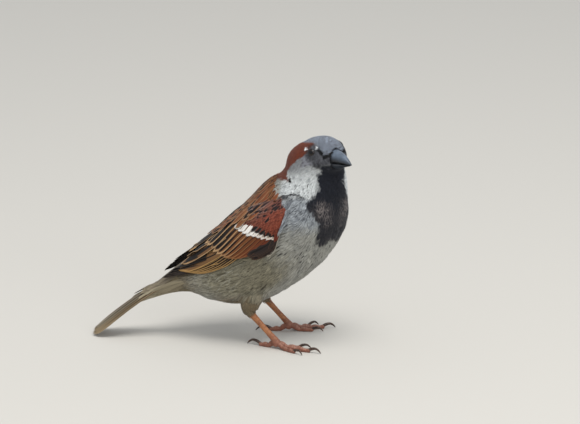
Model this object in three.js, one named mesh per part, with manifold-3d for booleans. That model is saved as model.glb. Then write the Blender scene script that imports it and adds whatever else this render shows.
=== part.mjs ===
// A male house sparrow, life size, standing on both feet with its tail tip on the ground and its head
// turned to its right. Millimetres, +Z up, +X forward, +Y to the bird's left.
// The body is drawn straight first, then swayed to its right in front and behind. The head, the legs
// and the toes are set in their own places afterwards.
import * as THREE from "three";
import { mergeVertices } from "three/addons/utils/BufferGeometryUtils.js";
import Module from "manifold-3d";

const wasm = await Module();
wasm.setup();

// ---------------------------------------------------------------- driving dimensions
const GAP = 0.3; // clearance between neighbouring pieces
const SLIVER = 0.03; // faces thinner than this are dropped from the finished solids
const SWAY_FRONT = 1 / 80; // sideways bend of the body in front of the hips, y = -x^2 * sway
const SWAY_REAR = 1 / 800; // the same behind the hips

const HEAD = { x: 19.2, z: 85.3, yaw: -44, pitch: 6, roll: 5 }; // centre of the skull, and its turn
const EYE = { forward: 3.7, side: 6.7, up: 2.4, radius: 2.5 };
const BILL = { base: 8.6, tip: 22.0, halfWidth: 3.9, open: 1.8 }; // open: degrees between the halves

// Where each foot stands, the joint at the top of its shank, and how far it turns outwards.
const LEGS = {
  left: { side: 1, x: 0.9, y: 13.8, ankle: [-10.5, 10.6, 16.8], turn: 25, hind: 166 },
  right: { side: -1, x: 1.2, y: -13.6, ankle: [-12.4, -10.8, 16.2], turn: 12, hind: 186 },
};
const PALM = { radius: 1.85, height: 3.2 }; // knuckle at the foot of the shank
const TARSUS = { front: 1.3, side: 1.0 }; // half sizes of the shank
const SINK = 0.12; // how far toe pads are pressed flat against the ground

const COLOURS = {
  crown: 0x6f7276,
  collar: 0x9b9a95,
  breast: 0x9a9586,
  rump: 0x857c69,
  chestnut: 0x8a4a2b,
  flight: 0x6e5338,
  primaries: 0x3a3029,
  tail: 0x665a4a,
  bill: 0x2b2d33,
  eye: 0x140c08,
  thigh: 0x7d7361,
  leg: 0xb06a42,
  claw: 0x33241d,
};

// ---------------------------------------------------------------- solids
function solidOf(geometry) {
  const bare = new THREE.BufferGeometry().setAttribute("position", geometry.getAttribute("position"));
  if (geometry.index) bare.setIndex(geometry.index);
  const merged = mergeVertices(bare, 1e-4);
  const triVerts = new Uint32Array(merged.index.array);
  const vertProperties = merged.attributes.position.array;
  const solid = new wasm.Manifold(new wasm.Mesh({ numProp: 3, vertProperties, triVerts }));
  if (solid.volume() > 0) return solid;
  for (let i = 0; i < triVerts.length; i += 3) {
    [triVerts[i + 1], triVerts[i + 2]] = [triVerts[i + 2], triVerts[i + 1]];
  }
  return new wasm.Manifold(new wasm.Mesh({ numProp: 3, vertProperties, triVerts }));
}

function geometryOf(solid) {
  const largest = solid.asOriginal().simplify(SLIVER).decompose().sort((a, b) => b.volume() - a.volume())[0];
  const mesh = largest.getMesh();
  const geometry = new THREE.BufferGeometry();
  const positions = new Float32Array(mesh.numVert * 3);
  for (let i = 0; i < mesh.numVert; i++) {
    positions.set(mesh.vertProperties.subarray(i * mesh.numProp, i * mesh.numProp + 3), i * 3);
  }
  geometry.setAttribute("position", new THREE.BufferAttribute(positions, 3));
  geometry.setIndex(new THREE.BufferAttribute(mesh.triVerts, 1));
  geometry.computeVertexNormals();
  return geometry;
}

// A closed skin over a row of rings, each with the same number of points, capped at both ends.
function loft(rings) {
  const sides = rings[0].length;
  const points = rings.flat();
  const middle = (ring) => ring.reduce((sum, p) => sum.add(p), new THREE.Vector3()).divideScalar(sides);
  const first = points.push(middle(rings[0])) - 1;
  const last = points.push(middle(rings[rings.length - 1])) - 1;
  const index = [];
  for (let r = 0; r + 1 < rings.length; r++) {
    for (let i = 0; i < sides; i++) {
      const a = r * sides + i;
      const b = r * sides + ((i + 1) % sides);
      index.push(a, b, a + sides, b, b + sides, a + sides);
    }
  }
  const end = (rings.length - 1) * sides;
  for (let i = 0; i < sides; i++) {
    index.push(first, (i + 1) % sides, i, last, end + i, end + ((i + 1) % sides));
  }
  const geometry = new THREE.BufferGeometry().setFromPoints(points);
  geometry.setIndex(index);
  return geometry;
}

// Smooth values through a table of stations: one curve for the named numbers, three at a time.
function along(stations, names) {
  const curves = [];
  for (let i = 0; i < names.length; i += 3) {
    const values = stations.map((s) => new THREE.Vector3(...[0, 1, 2].map((k) => s[names[i + k]] ?? 0)));
    curves.push(new THREE.CatmullRomCurve3(values, false, "catmullrom", 0.5));
  }
  return (t) => {
    const found = {};
    names.forEach((name, i) => {
      found[name] = curves[Math.floor(i / 3)].getPoint(t).getComponent(i % 3);
    });
    return found;
  };
}

// Bends the straight body sideways, turning each slice square to the bent midline.
function sway(p) {
  const k = p.x < 0 ? SWAY_REAR : SWAY_FRONT;
  const turn = Math.atan(-2 * k * p.x);
  return new THREE.Vector3(p.x - p.y * Math.sin(turn), -k * p.x * p.x + p.y * Math.cos(turn), p.z);
}

// A half space beyond a plane, as a very large box, for parting the body with thin cuts.
function beyond(point, normal, shift = 0) {
  const size = 400;
  const box = new THREE.BoxGeometry(size, size, size).translate(size / 2 + shift, 0, 0);
  const turn = new THREE.Quaternion().setFromUnitVectors(new THREE.Vector3(1, 0, 0), normal.clone().normalize());
  box.applyQuaternion(turn).translate(point.x, point.y, point.z);
  return solidOf(box);
}

const group = new THREE.Group();

function place(name, solid, color, roughness = 0.9) {
  const material = new THREE.MeshStandardMaterial({ color, roughness, metalness: 0 });
  const mesh = new THREE.Mesh(geometryOf(solid), material);
  mesh.name = name;
  group.add(mesh);
  return mesh;
}

// ---------------------------------------------------------------- body, from undertail coverts to neck
// Slices square to the spine: centre (x, z), the slice's lean, half height and half width.
const BODY = [
  { x: -60, z: 16.8, pitch: 33, high: 1.2, wide: 2.6 },
  { x: -51, z: 22.0, pitch: 28, high: 3.0, wide: 5.0 },
  { x: -42, z: 26.2, pitch: 20, high: 6.0, wide: 8.0 },
  { x: -31, z: 27.8, pitch: 18, high: 12.2, wide: 13.2 },
  { x: -17, z: 33.0, pitch: 33, high: 18.6, wide: 17.2 },
  { x: 0.2, z: 46.4, pitch: 46, high: 20.4, wide: 18.8 },
  { x: 10.8, z: 61.0, pitch: 58, high: 18.8, wide: 17.8 },
  { x: 15.2, z: 71.6, pitch: 68, high: 14.3, wide: 13.6 },
  { x: 16.3, z: 80.0, pitch: 74, high: 12.9, wide: 10.9 },
  { x: 16.6, z: 86.2, pitch: 80, high: 9.2, wide: 8.6 },
  { x: 17.6, z: 90.4, pitch: 84, high: 4.8, wide: 4.8 },
];
const BODY_SLICES = 25;
const BODY_SIDES = 24;
const bodyAt = along(BODY, ["x", "z", "pitch", "high", "wide"]);

function bodySolid(grow = 0) {
  const rings = [];
  for (let i = 0; i <= BODY_SLICES; i++) {
    const s = bodyAt(i / BODY_SLICES);
    const lean = THREE.MathUtils.degToRad(s.pitch);
    const ring = [];
    for (let k = 0; k < BODY_SIDES; k++) {
      const a = (2 * Math.PI * k) / BODY_SIDES;
      const up = (s.high + grow) * Math.sin(a);
      const side = (s.wide + grow) * Math.cos(a);
      ring.push(sway(new THREE.Vector3(s.x - up * Math.sin(lean), side, s.z + up * Math.cos(lean))));
    }
    rings.push(ring);
  }
  return solidOf(loft(rings));
}

// ---------------------------------------------------------------- head frame
const headCentre = sway(new THREE.Vector3(HEAD.x, 0, HEAD.z));
const headTurn = new THREE.Matrix4()
  .makeRotationFromEuler(
    new THREE.Euler(
      THREE.MathUtils.degToRad(HEAD.roll),
      THREE.MathUtils.degToRad(-HEAD.pitch),
      THREE.MathUtils.degToRad(HEAD.yaw),
      "ZYX",
    ),
  )
  .setPosition(headCentre);
const inHead = (forward, side, up) => new THREE.Vector3(forward, side, up).applyMatrix4(headTurn);

// Slices of the skull with its feathers: forward, centre height, half height and half width.
const SKULL = [
  { f: -10.6, u: -1.6, high: 1.6, wide: 1.6 },
  { f: -9.6, u: -1.4, high: 5.2, wide: 4.8 },
  { f: -6.4, u: -0.9, high: 7.6, wide: 8.2 },
  { f: -2.0, u: -0.6, high: 8.3, wide: 9.2 },
  { f: 2.0, u: -0.4, high: 8.6, wide: 9.3 },
  { f: 5.8, u: -0.5, high: 8.0, wide: 8.5 },
  { f: 9.0, u: -0.7, high: 6.7, wide: 7.0 },
  { f: 11.4, u: -1.0, high: 4.8, wide: 5.1 },
  { f: 12.4, u: -1.2, high: 2.4, wide: 2.6 },
];
const SKULL_SLICES = 13;
const SKULL_SIDES = 18;
const skullAt = along(SKULL, ["f", "u", "high", "wide"]);

function skullSolid(grow = 0) {
  const rings = [];
  for (let i = 0; i <= SKULL_SLICES; i++) {
    const s = skullAt(i / SKULL_SLICES);
    const push = i === 0 ? -grow : i === SKULL_SLICES ? grow : 0;
    const ring = [];
    for (let k = 0; k < SKULL_SIDES; k++) {
      const a = (2 * Math.PI * k) / SKULL_SIDES;
      ring.push(inHead(s.f + push, (s.wide + grow) * Math.cos(a), s.u + (s.high + grow) * Math.sin(a)));
    }
    rings.push(ring);
  }
  return solidOf(loft(rings));
}

function eyeSolid(side, grow = 0) {
  const centre = inHead(EYE.forward, side * EYE.side, EYE.up);
  return solidOf(new THREE.SphereGeometry(EYE.radius + grow, 14, 9).translate(centre.x, centre.y, centre.z));
}

// ---------------------------------------------------------------- bill
const billRun = (f) => THREE.MathUtils.clamp((f - BILL.base) / (BILL.tip - BILL.base), 0, 1);
const culmen = (f) => 3.3 - 5.7 * billRun(f) ** 2.2; // ridge of the upper half
const tomium = (f) => -2.0 - 0.8 * billRun(f) + 0.5 * Math.sin(Math.PI * billRun(f)); // line where they close
const gonys = (f) => -5.3 + 3.0 * billRun(f) ** 1.5; // keel of the lower half
const billHalf = (f) => 0.3 + (BILL.halfWidth - 0.3) * (1 - billRun(f) ** 1.5);
const BILL_SLICES = 8;
const BILL_SIDES = 12;

function billSolid(isUpper) {
  const end = isUpper ? BILL.tip : BILL.tip - 1.7;
  const slope = Math.tan(THREE.MathUtils.degToRad(BILL.open));
  const rings = [];
  for (let i = 0; i <= BILL_SLICES; i++) {
    const f = BILL.base + (end - BILL.base) * (i / BILL_SLICES);
    const drop = isUpper ? 0 : slope * (f - BILL.base);
    const edge = tomium(f) + (isUpper ? GAP / 2 : -GAP / 2) - drop;
    const tall = Math.max(isUpper ? culmen(f) - edge : edge + drop - gonys(f), 0.4);
    const half = Math.max(billHalf(f) * (isUpper ? 1 : 0.9), 0.3);
    const ring = [];
    for (let k = 0; k < BILL_SIDES; k++) {
      const a = (2 * Math.PI * k) / BILL_SIDES;
      const arch = Math.max(Math.sin(a), 0) ** 0.85;
      ring.push(inHead(f, half * Math.cos(a), edge + (isUpper ? tall : -tall) * arch));
    }
    rings.push(ring);
  }
  return solidOf(loft(rings));
}

// ---------------------------------------------------------------- wings
// Outer face of a folded wing: its upper and lower edges from the wrist to the tip of the longest
// primary, how far the face swells outwards between them, and the wing's thickness.
const WING = [
  { ux: 14.0, uy: 15.2, uz: 65.5, lx: 13.2, ly: 16.8, lz: 56.0, swell: 1.2, thick: 2.5 },
  { ux: 5.4, uy: 15.0, uz: 67.0, lx: 8.6, ly: 20.2, lz: 50.6, swell: 3.2, thick: 4.5 },
  { ux: -7.0, uy: 14.4, uz: 63.8, lx: -2.6, ly: 21.4, lz: 45.0, swell: 3.4, thick: 5.0 },
  { ux: -17.5, uy: 12.2, uz: 57.2, lx: -13.0, ly: 20.6, lz: 40.9, swell: 2.8, thick: 4.2 },
  { ux: -27.0, uy: 9.6, uz: 48.2, lx: -23.0, ly: 17.4, lz: 36.8, swell: 2.2, thick: 3.0 },
  { ux: -36.0, uy: 7.2, uz: 39.7, lx: -34.5, ly: 12.6, lz: 32.0, swell: 1.4, thick: 2.2 },
  { ux: -43.0, uy: 5.6, uz: 33.4, lx: -43.0, ly: 8.6, lz: 29.6, swell: 0.6, thick: 1.4 },
  { ux: -50.0, uy: 4.8, uz: 28.4, lx: -49.8, ly: 5.8, lz: 27.4, swell: 0.1, thick: 0.9 },
];
const WING_SLICES = 16;
const WING_STEPS = 6; // across the face
const WING_EDGE = 0.7; // thinnest it gets
const WING_REACH = { 1: 1.04, "-1": 1 }; // the left wing is folded with its tip a little further back
const wingAt = along(WING, ["ux", "uy", "uz", "lx", "ly", "lz", "swell", "thick"]);

function wingSolid(side) {
  const rings = [];
  for (let i = 0; i <= WING_SLICES; i++) {
    const s = wingAt(i / WING_SLICES);
    const upper = new THREE.Vector3(s.ux, s.uy, s.uz);
    const lower = new THREE.Vector3(s.lx, s.ly, s.lz);
    const outward = new THREE.Vector3(0, upper.z - lower.z, lower.y - upper.y).normalize();
    const face = (v, depth) => {
      const edge = 4 * v * (1 - v);
      const inset = depth === 0 ? 0 : Math.max(depth * (0.35 + 0.65 * edge), WING_EDGE);
      return upper.clone().lerp(lower, v).addScaledVector(outward, s.swell * edge - inset);
    };
    const ring = [];
    for (let k = 0; k <= WING_STEPS; k++) ring.push(face(k / WING_STEPS, 0));
    for (let k = WING_STEPS; k >= 0; k--) ring.push(face(k / WING_STEPS, s.thick));
    const reach = (x) => (x < 0 ? x * WING_REACH[side] : x);
    rings.push(ring.map((p) => sway(new THREE.Vector3(reach(p.x), side * p.y, p.z))));
  }
  return solidOf(loft(rings));
}

// ---------------------------------------------------------------- tail
// Twelve tail feathers, stacked with the middle pair on top, along a line that droops to the ground.
const TAIL_LINE = new THREE.CatmullRomCurve3(
  [
    new THREE.Vector3(-36, 0, 29.4),
    new THREE.Vector3(-51, 0, 24.6),
    new THREE.Vector3(-66, 0, 14.8),
    new THREE.Vector3(-83.2, 0, 0.7),
  ],
  false,
  "catmullrom",
  0.5,
);
const TAIL = { pairs: 6, fan: 0.75, drop: 0.32, thick: 0.6, halfWide: 3.1, tilt: 0.25, slices: 4 };
const TAIL_NOTCH = { middle: 0.045, edge: 0.03 }; // how much shorter the middle and outermost feathers are

function rectrixSolid(side, pair) {
  const rings = [];
  const out = pair / (TAIL.pairs - 1);
  const length = 1 - TAIL_NOTCH.middle * (1 - out) ** 1.5 - TAIL_NOTCH.edge * out ** 3;
  for (let i = 0; i <= TAIL.slices; i++) {
    const run = i / TAIL.slices;
    const centre = TAIL_LINE.getPoint(run * length);
    const ahead = TAIL_LINE.getTangent(run * length);
    const up = new THREE.Vector3(-ahead.z, 0, ahead.x).multiplyScalar(ahead.x < 0 ? -1 : 1).normalize();
    const tip = Math.sqrt(Math.max(1 - Math.max(run - 0.88, 0) ** 2 / 0.0225, 0.02));
    const half = TAIL.halfWide * (0.62 + 0.38 * run) * tip;
    const shift = side * (0.4 + pair * TAIL.fan * (0.35 + 0.65 * run));
    const lift = -TAIL.drop * pair;
    const corner = (across, rise) =>
      sway(centre.clone().addScaledVector(up, lift + rise).add(new THREE.Vector3(0, shift + across, 0)));
    const t = TAIL.thick / 2;
    const tilt = -TAIL.tilt * side;
    rings.push([
      corner(-half, -t - tilt),
      corner(half, -t + tilt),
      corner(half, t + tilt),
      corner(-half, t - tilt),
    ]);
  }
  return solidOf(loft(rings));
}

function tailSolid() {
  let solid = null;
  for (const side of [1, -1]) {
    for (let pair = 0; pair < TAIL.pairs; pair++) {
      const feather = rectrixSolid(side, pair);
      solid = solid ? solid.add(feather) : feather;
    }
  }
  return solid;
}

// ---------------------------------------------------------------- limbs
// A round limb along a smooth line, through points that carry half sizes towards `facing` and across.
function limb(points, sides, slices, grow, facing) {
  const line = new THREE.CatmullRomCurve3(points.map((p) => p.at), false, "centripetal");
  const sizeAt = along(points, ["front", "side"]);
  const rings = [];
  for (let i = 0; i <= slices; i++) {
    const t = i / slices;
    const centre = line.getPoint(t);
    const ahead = line.getTangent(t);
    if (i === 0) centre.addScaledVector(ahead, -grow);
    if (i === slices) centre.addScaledVector(ahead, grow);
    const size = sizeAt(t);
    const over = facing.clone().addScaledVector(ahead, -facing.dot(ahead)).normalize();
    const across = over.clone().cross(ahead);
    const ring = [];
    for (let k = 0; k < sides; k++) {
      const a = (2 * Math.PI * k) / sides;
      ring.push(
        centre
          .clone()
          .addScaledVector(across, (size.side + grow) * Math.cos(a))
          .addScaledVector(over, (size.front + grow) * Math.sin(a)),
      );
    }
    rings.push(ring);
  }
  return solidOf(loft(rings));
}

const FORWARD = new THREE.Vector3(1, 0, 0);
const UPWARD = new THREE.Vector3(0, 0, 1);
const point = (x, y, z, front, side = front) => ({ at: new THREE.Vector3(x, y, z), front, side });

// The feathered shin, a short cone out of the belly.
function thighSolid(leg, grow = 0) {
  const [x, y, z] = leg.ankle;
  return limb(
    [
      point(x + 6.0, y - leg.side * 2.0, z + 12, 6.4, 5.6),
      point(x + 2.3, y - leg.side * 0.9, z + 5.2, 5.3, 4.6),
      point(x + 1.0, y - leg.side * 0.2, z + 0.8, 3.9, 3.4),
      point(x + 1.8, y, z - 2.5, 2.5, 2.2),
    ],
    12,
    6,
    grow,
    FORWARD,
  );
}

// The bare shank, with its ankle knob and the knuckle that the toes spring from.
function tarsusSolid(leg, grow = 0) {
  const top = new THREE.Vector3(...leg.ankle);
  const base = new THREE.Vector3(leg.x, leg.y, PALM.height);
  const at = (t, front, side = front) => ({ at: top.clone().lerp(base, t), front, side });
  const shank = limb(
    [
      at(0, 1.2, 1.0),
      at(0.08, 1.7, 1.4),
      at(0.22, TARSUS.front + 0.15, TARSUS.side + 0.1),
      at(0.6, TARSUS.front - 0.1, TARSUS.side - 0.05),
      at(0.86, TARSUS.front, TARSUS.side + 0.1),
      at(0.98, 1.4, 1.4),
    ],
    9,
    9,
    grow,
    FORWARD,
  );
  const knuckle = new THREE.SphereGeometry(PALM.radius + grow, 10, 7)
    .scale(1.1, 1.05, 1.0)
    .translate(base.x, base.y, PALM.height - 0.6);
  return shank.add(solidOf(knuckle));
}

// Toes: turn from the line of the foot (outwards positive), length, claw, pads under it, half thickness.
const TOES = {
  middle: { turn: 0, length: 16.2, claw: 4.8, pads: 3, thick: 1.12 },
  inner: { turn: -20, length: 11.0, claw: 4.2, pads: 2, thick: 1.02 },
  outer: { turn: 21, length: 11.6, claw: 4.2, pads: 3, thick: 1.0 },
  hind: { turn: null, length: 8.6, claw: 5.8, pads: 2, thick: 1.15 },
};

function toeWay(leg, toe) {
  const angle = THREE.MathUtils.degToRad((leg.turn + (toe.turn ?? leg.hind)) * leg.side);
  return new THREE.Vector3(Math.cos(angle), Math.sin(angle), 0);
}

function toeSolid(leg, toe, grow = 0) {
  const way = toeWay(leg, toe);
  const base = new THREE.Vector3(leg.x, leg.y, 0);
  const points = [];
  const count = toe.pads * 2 + 1;
  for (let i = 0; i <= count; i++) {
    const run = i / count;
    const pad = toe.thick * (i % 2 ? 1.1 : 0.86) * (1 - 0.2 * run);
    const arch = 1.7 * Math.max(0, 1 - run * 2.6);
    const at = base.clone().addScaledVector(way, 0.6 + (toe.length - 0.6) * run).setZ(pad - SINK + arch);
    points.push({ at, front: pad, side: pad * 0.95 });
  }
  return limb(points, 8, count, grow, UPWARD);
}

function clawSolid(leg, toe) {
  const start = toe.length - 0.9;
  const base = new THREE.Vector3(leg.x, leg.y, 0).addScaledVector(toeWay(leg, toe), start);
  const thick = toe.thick * 0.62;
  const step = (run, z, size) => ({
    at: base.clone().addScaledVector(toeWay(leg, toe), run * (toe.claw + 0.9)).setZ(z),
    front: size,
    side: size * 0.8,
  });
  const rise = toe.claw * 0.22;
  return limb(
    [
      step(0, 0.95, thick),
      step(0.3, 1.1 + rise * 0.7, thick * 0.92),
      step(0.62, 0.95 + rise, thick * 0.72),
      step(0.86, 0.7 + rise * 0.45, thick * 0.54),
      step(1.0, 0.38, 0.32),
    ],
    6,
    7,
    0,
    UPWARD,
  );
}

const aboveFloor = beyond(new THREE.Vector3(0, 0, 0), UPWARD);

// ---------------------------------------------------------------- assembly
const whole = bodySolid().add(skullSolid());
const eyes = { 1: eyeSolid(1), "-1": eyeSolid(-1) };
const sockets = eyeSolid(1, GAP).add(eyeSolid(-1, GAP));

// Planes that part head, neck, trunk and rump.
const cuts = {
  head: { at: sway(new THREE.Vector3(17.0, 0, 78.0)), way: new THREE.Vector3(0.1, -0.03, 1) },
  neck: { at: sway(new THREE.Vector3(14.0, 0, 70.2)), way: new THREE.Vector3(0.35, -0.1, 0.93) },
  rump: { at: sway(new THREE.Vector3(-29, 0, 29)), way: new THREE.Vector3(0.93, 0, 0.36) },
};
const front = (cut) => beyond(cut.at, cut.way, GAP / 2);
const behind = (cut) => beyond(cut.at, cut.way.clone().negate(), GAP / 2);

place("head", whole.intersect(front(cuts.head)).subtract(sockets), COLOURS.crown);
place("neck", whole.intersect(behind(cuts.head)).intersect(front(cuts.neck)), COLOURS.collar);
place("trunk", whole.intersect(behind(cuts.neck)).intersect(front(cuts.rump)), COLOURS.breast);
place("rump", whole.intersect(behind(cuts.rump)), COLOURS.rump);

const skullGrown = skullSolid(GAP);
place("bill_upper", billSolid(true).subtract(skullGrown), COLOURS.bill, 0.35);
place("bill_lower", billSolid(false).subtract(skullGrown), COLOURS.bill, 0.4);

const bodyGrown = bodySolid(GAP);
place("tail", tailSolid().subtract(bodyGrown).intersect(aboveFloor), COLOURS.tail);

// Lines across the folded wing where the greater coverts end, and where the inner flight feathers do.
const wingCuts = {
  coverts: { at: new THREE.Vector3(-20, 0, 44.5), way: new THREE.Vector3(0.64, 0, 0.77) },
  secondaries: { at: new THREE.Vector3(-38.5, 0, 35), way: new THREE.Vector3(0.94, 0, 0.34) },
};
for (const [word, leg] of Object.entries(LEGS)) {
  const wing = wingSolid(leg.side).subtract(bodyGrown);
  place(`wing_coverts_${word}`, wing.intersect(front(wingCuts.coverts)), COLOURS.chestnut);
  const rear = wing.intersect(behind(wingCuts.coverts));
  place(`wing_secondaries_${word}`, rear.intersect(front(wingCuts.secondaries)), COLOURS.flight);
  place(`wing_primaries_${word}`, rear.intersect(behind(wingCuts.secondaries)), COLOURS.primaries);
  place(`eye_${word}`, eyes[leg.side], COLOURS.eye, 0.05);

  place(`thigh_${word}`, thighSolid(leg).subtract(bodyGrown), COLOURS.thigh);
  const shank = tarsusSolid(leg).subtract(thighSolid(leg, GAP)).intersect(aboveFloor);
  place(`tarsus_${word}`, shank, COLOURS.leg, 0.6);
  const shankGrown = tarsusSolid(leg, GAP);
  const middleGrown = toeSolid(leg, TOES.middle, GAP);
  for (const [name, toe] of Object.entries(TOES)) {
    let solid = toeSolid(leg, toe).subtract(shankGrown).intersect(aboveFloor);
    if (name === "inner" || name === "outer") solid = solid.subtract(middleGrown);
    place(`toe_${name}_${word}`, solid, COLOURS.leg, 0.6);
    const claw = clawSolid(leg, toe).subtract(toeSolid(leg, toe, GAP)).intersect(aboveFloor);
    place(`claw_${name}_${word}`, claw, COLOURS.claw, 0.4);
  }
}

// The origin is on the ground under the middle of the whole bird.
const bounds = new THREE.Box3().setFromObject(group);
const middle = bounds.getCenter(new THREE.Vector3());
group.position.set(-middle.x, -middle.y, -bounds.min.z);

export default group;
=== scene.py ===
# A male house sparrow, life size, standing with its head turned to its right. Metres, +Z up.
# Shapes are worked out in millimetres and put into the scene in metres.
import math
from types import SimpleNamespace
import bpy
import numpy as np
from mathutils import Euler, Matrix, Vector
from mathutils.bvhtree import BVHTree
from mathutils.kdtree import KDTree


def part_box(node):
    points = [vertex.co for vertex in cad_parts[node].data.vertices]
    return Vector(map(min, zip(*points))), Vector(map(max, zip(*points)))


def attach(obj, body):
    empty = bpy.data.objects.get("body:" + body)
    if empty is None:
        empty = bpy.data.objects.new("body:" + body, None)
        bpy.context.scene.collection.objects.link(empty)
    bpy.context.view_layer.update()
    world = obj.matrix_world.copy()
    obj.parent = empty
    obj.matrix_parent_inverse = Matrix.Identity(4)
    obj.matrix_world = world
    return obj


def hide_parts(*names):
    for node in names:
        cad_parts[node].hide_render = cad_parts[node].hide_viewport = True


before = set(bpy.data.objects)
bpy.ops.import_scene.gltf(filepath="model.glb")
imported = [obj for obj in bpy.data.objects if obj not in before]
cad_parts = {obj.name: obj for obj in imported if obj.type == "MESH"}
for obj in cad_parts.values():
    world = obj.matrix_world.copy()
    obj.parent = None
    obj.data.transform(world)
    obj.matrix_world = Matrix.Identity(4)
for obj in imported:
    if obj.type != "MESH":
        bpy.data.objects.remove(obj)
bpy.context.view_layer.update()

# ---------------------------------------------------------------- skin
# The skin of head, neck, trunk and thighs, one closed surface under the feathers.
# It is made over copies of the solids, melted into one, and lies inside them by the coat's depth.
MM = 0.001
HEAD_TURN = (5, -6, -44)  # degrees about x, y and z
HEAD_AT = (19.2, -4.608, 85.3)  # middle of the skull, before the bird is set over the origin
EYE = (3.7, 6.7, 2.4)  # an eyeball's middle: forward, aside and up from there
SWAY_FRONT, SWAY_REAR = 1 / 80, 1 / 800  # sideways bend of the body before and behind the hips
BODY_COAT, HEAD_COAT = 1.1, 0.55  # depth of the feathers over the skin
FLESH = ["head", "neck", "trunk", "rump", "thigh_left", "thigh_right"]


def node_middle(node):
    low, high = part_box(node)
    return np.array((low + high) / 2) / MM


head_matrix = np.array(Euler([math.radians(angle) for angle in HEAD_TURN], "XYZ").to_matrix())
eyes_middle = (node_middle("eye_left") + node_middle("eye_right")) / 2
head_middle = eyes_middle - head_matrix @ np.array([EYE[0], 0, EYE[2]])
origin = head_middle - np.array(HEAD_AT)


def in_head(points):
    """Forward, left and up in the head's own frame, to places in the scene."""
    return np.asarray(points, float) @ head_matrix.T + head_middle


def to_head(points):
    return (points - head_middle) @ head_matrix


def sway(x):
    """How far aside the body is bent at x, and how far it is turned there."""
    k = np.where(x < 0, SWAY_REAR, SWAY_FRONT)
    return k * x * x, np.arctan(-2 * k * x)


def bent(points):
    """Places on the straight body, to places on the bird as it stands."""
    x, y, z = np.moveaxis(np.asarray(points, float), -1, 0)
    aside, turn = sway(x)
    return origin + np.stack([x - y * np.sin(turn), y * np.cos(turn) - aside, z], -1)


def straight(points):
    """The other way round, found by halving."""
    ahead, left, z = (points - origin).T
    low, high = np.full(len(points), -95.0), np.full(len(points), 60.0)
    for _ in range(30):
        x = (low + high) / 2
        aside, turn = sway(x)
        further = (ahead - x) * np.cos(turn) + (left + aside) * np.sin(turn) > 0
        low, high = np.where(further, x, low), np.where(further, high, x)
    return np.stack([x, -(ahead - x) * np.sin(turn) + (left + aside) * np.cos(turn), z], -1)


def unit(v):
    return v / np.maximum(np.linalg.norm(v, axis=-1, keepdims=True), 1e-9)


def step(low, high, value):
    """Rises smoothly from 0 at low to 1 at high."""
    t = np.clip((value - low) / (high - low), 0, 1)
    return t * t * (3 - 2 * t)


def coat_depth(points):
    return BODY_COAT + (HEAD_COAT - BODY_COAT) * step(-13, -6, to_head(points)[:, 2:])


def numbers(rows, name, width, kind=float):
    """What each row of a mesh holds under a name."""
    found = np.empty(len(rows) * width, kind)
    rows.foreach_get(name, found)
    return found.reshape(-1, width)


def vertices_of(thing):
    return numbers(thing.data.vertices, "co", 3) / MM


def normals_of(thing):
    return numbers(thing.data.vertex_normals, "vector", 3)


def put_vertices(thing, points):
    thing.data.vertices.foreach_set("co", (points * MM).ravel())
    thing.data.update()


def shown(name, mesh):
    thing = bpy.data.objects.new(name, mesh)
    bpy.context.scene.collection.objects.link(thing)
    return thing


def choose(*things):
    bpy.ops.object.select_all(action="DESELECT")
    for thing in things:
        thing.select_set(True)
    bpy.context.view_layer.objects.active = things[0]


def joined(things, name):
    """Joins things into the first of them."""
    choose(*things)
    bpy.ops.object.join()
    things[0].name = name
    return things[0]


def edit(thing, *jobs):
    """Runs mesh tools over the whole of a thing."""
    choose(thing)
    bpy.ops.object.mode_set(mode="EDIT")
    bpy.ops.mesh.select_all(action="SELECT")
    for job in jobs:
        job()
    bpy.ops.object.mode_set(mode="OBJECT")


def remade(thing, voxel, rounds):
    """One even, closed, smoothed mesh in place of a thing's own."""
    choose(thing)
    thing.data.remesh_voxel_size = voxel * MM
    bpy.ops.object.voxel_remesh()
    soften = thing.modifiers.new("soften", "SMOOTH")
    soften.factor = 0.5
    soften.iterations = rounds
    bpy.ops.object.modifier_apply(modifier=soften.name)


def melted(name, nodes, voxel, swell, rounds):
    """Copies of solids melted into one closed mesh; swell closes the gaps between them first."""
    copies = [shown(name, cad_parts[node].data.copy()) for node in nodes]
    for copy in copies:
        copy.data.materials.clear()
    whole = joined(copies[::-1], name)
    edit(whole, lambda: bpy.ops.mesh.remove_doubles(threshold=2e-6))
    put_vertices(whole, vertices_of(whole) + swell * normals_of(whole))
    remade(whole, voxel, rounds)
    put_vertices(whole, vertices_of(whole) - swell * normals_of(whole))
    bpy.ops.object.shade_smooth()
    return whole


def unwrapped(thing, margin):
    """Unwraps a skin's own shape. Gives its points, their normals, its faces and each face's map."""
    edit(thing, bpy.ops.mesh.quads_convert_to_tris,
         lambda: bpy.ops.uv.smart_project(angle_limit=math.radians(70), island_margin=margin))
    layer = thing.data.uv_layers.active
    layer.name = "OFBake"
    faces = numbers(thing.data.polygons, "vertices", 3, int)
    return vertices_of(thing), normals_of(thing), faces, numbers(layer.data, "uv", 2).reshape(-1, 3, 2)


skin = melted("skin", FLESH + ["eye_left", "eye_right"], voxel=0.75, swell=0.45, rounds=8)
body_surface = unwrapped(skin, margin=0.004)
outline, outward, triangles, _ = body_surface  # the outline is where the feathers' outer ends lie
put_vertices(skin, outline - outward * coat_depth(outline))
body_tree = BVHTree.FromPolygons(outline.tolist(), triangles.tolist())

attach(skin, "root")
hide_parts(*FLESH)

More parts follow.
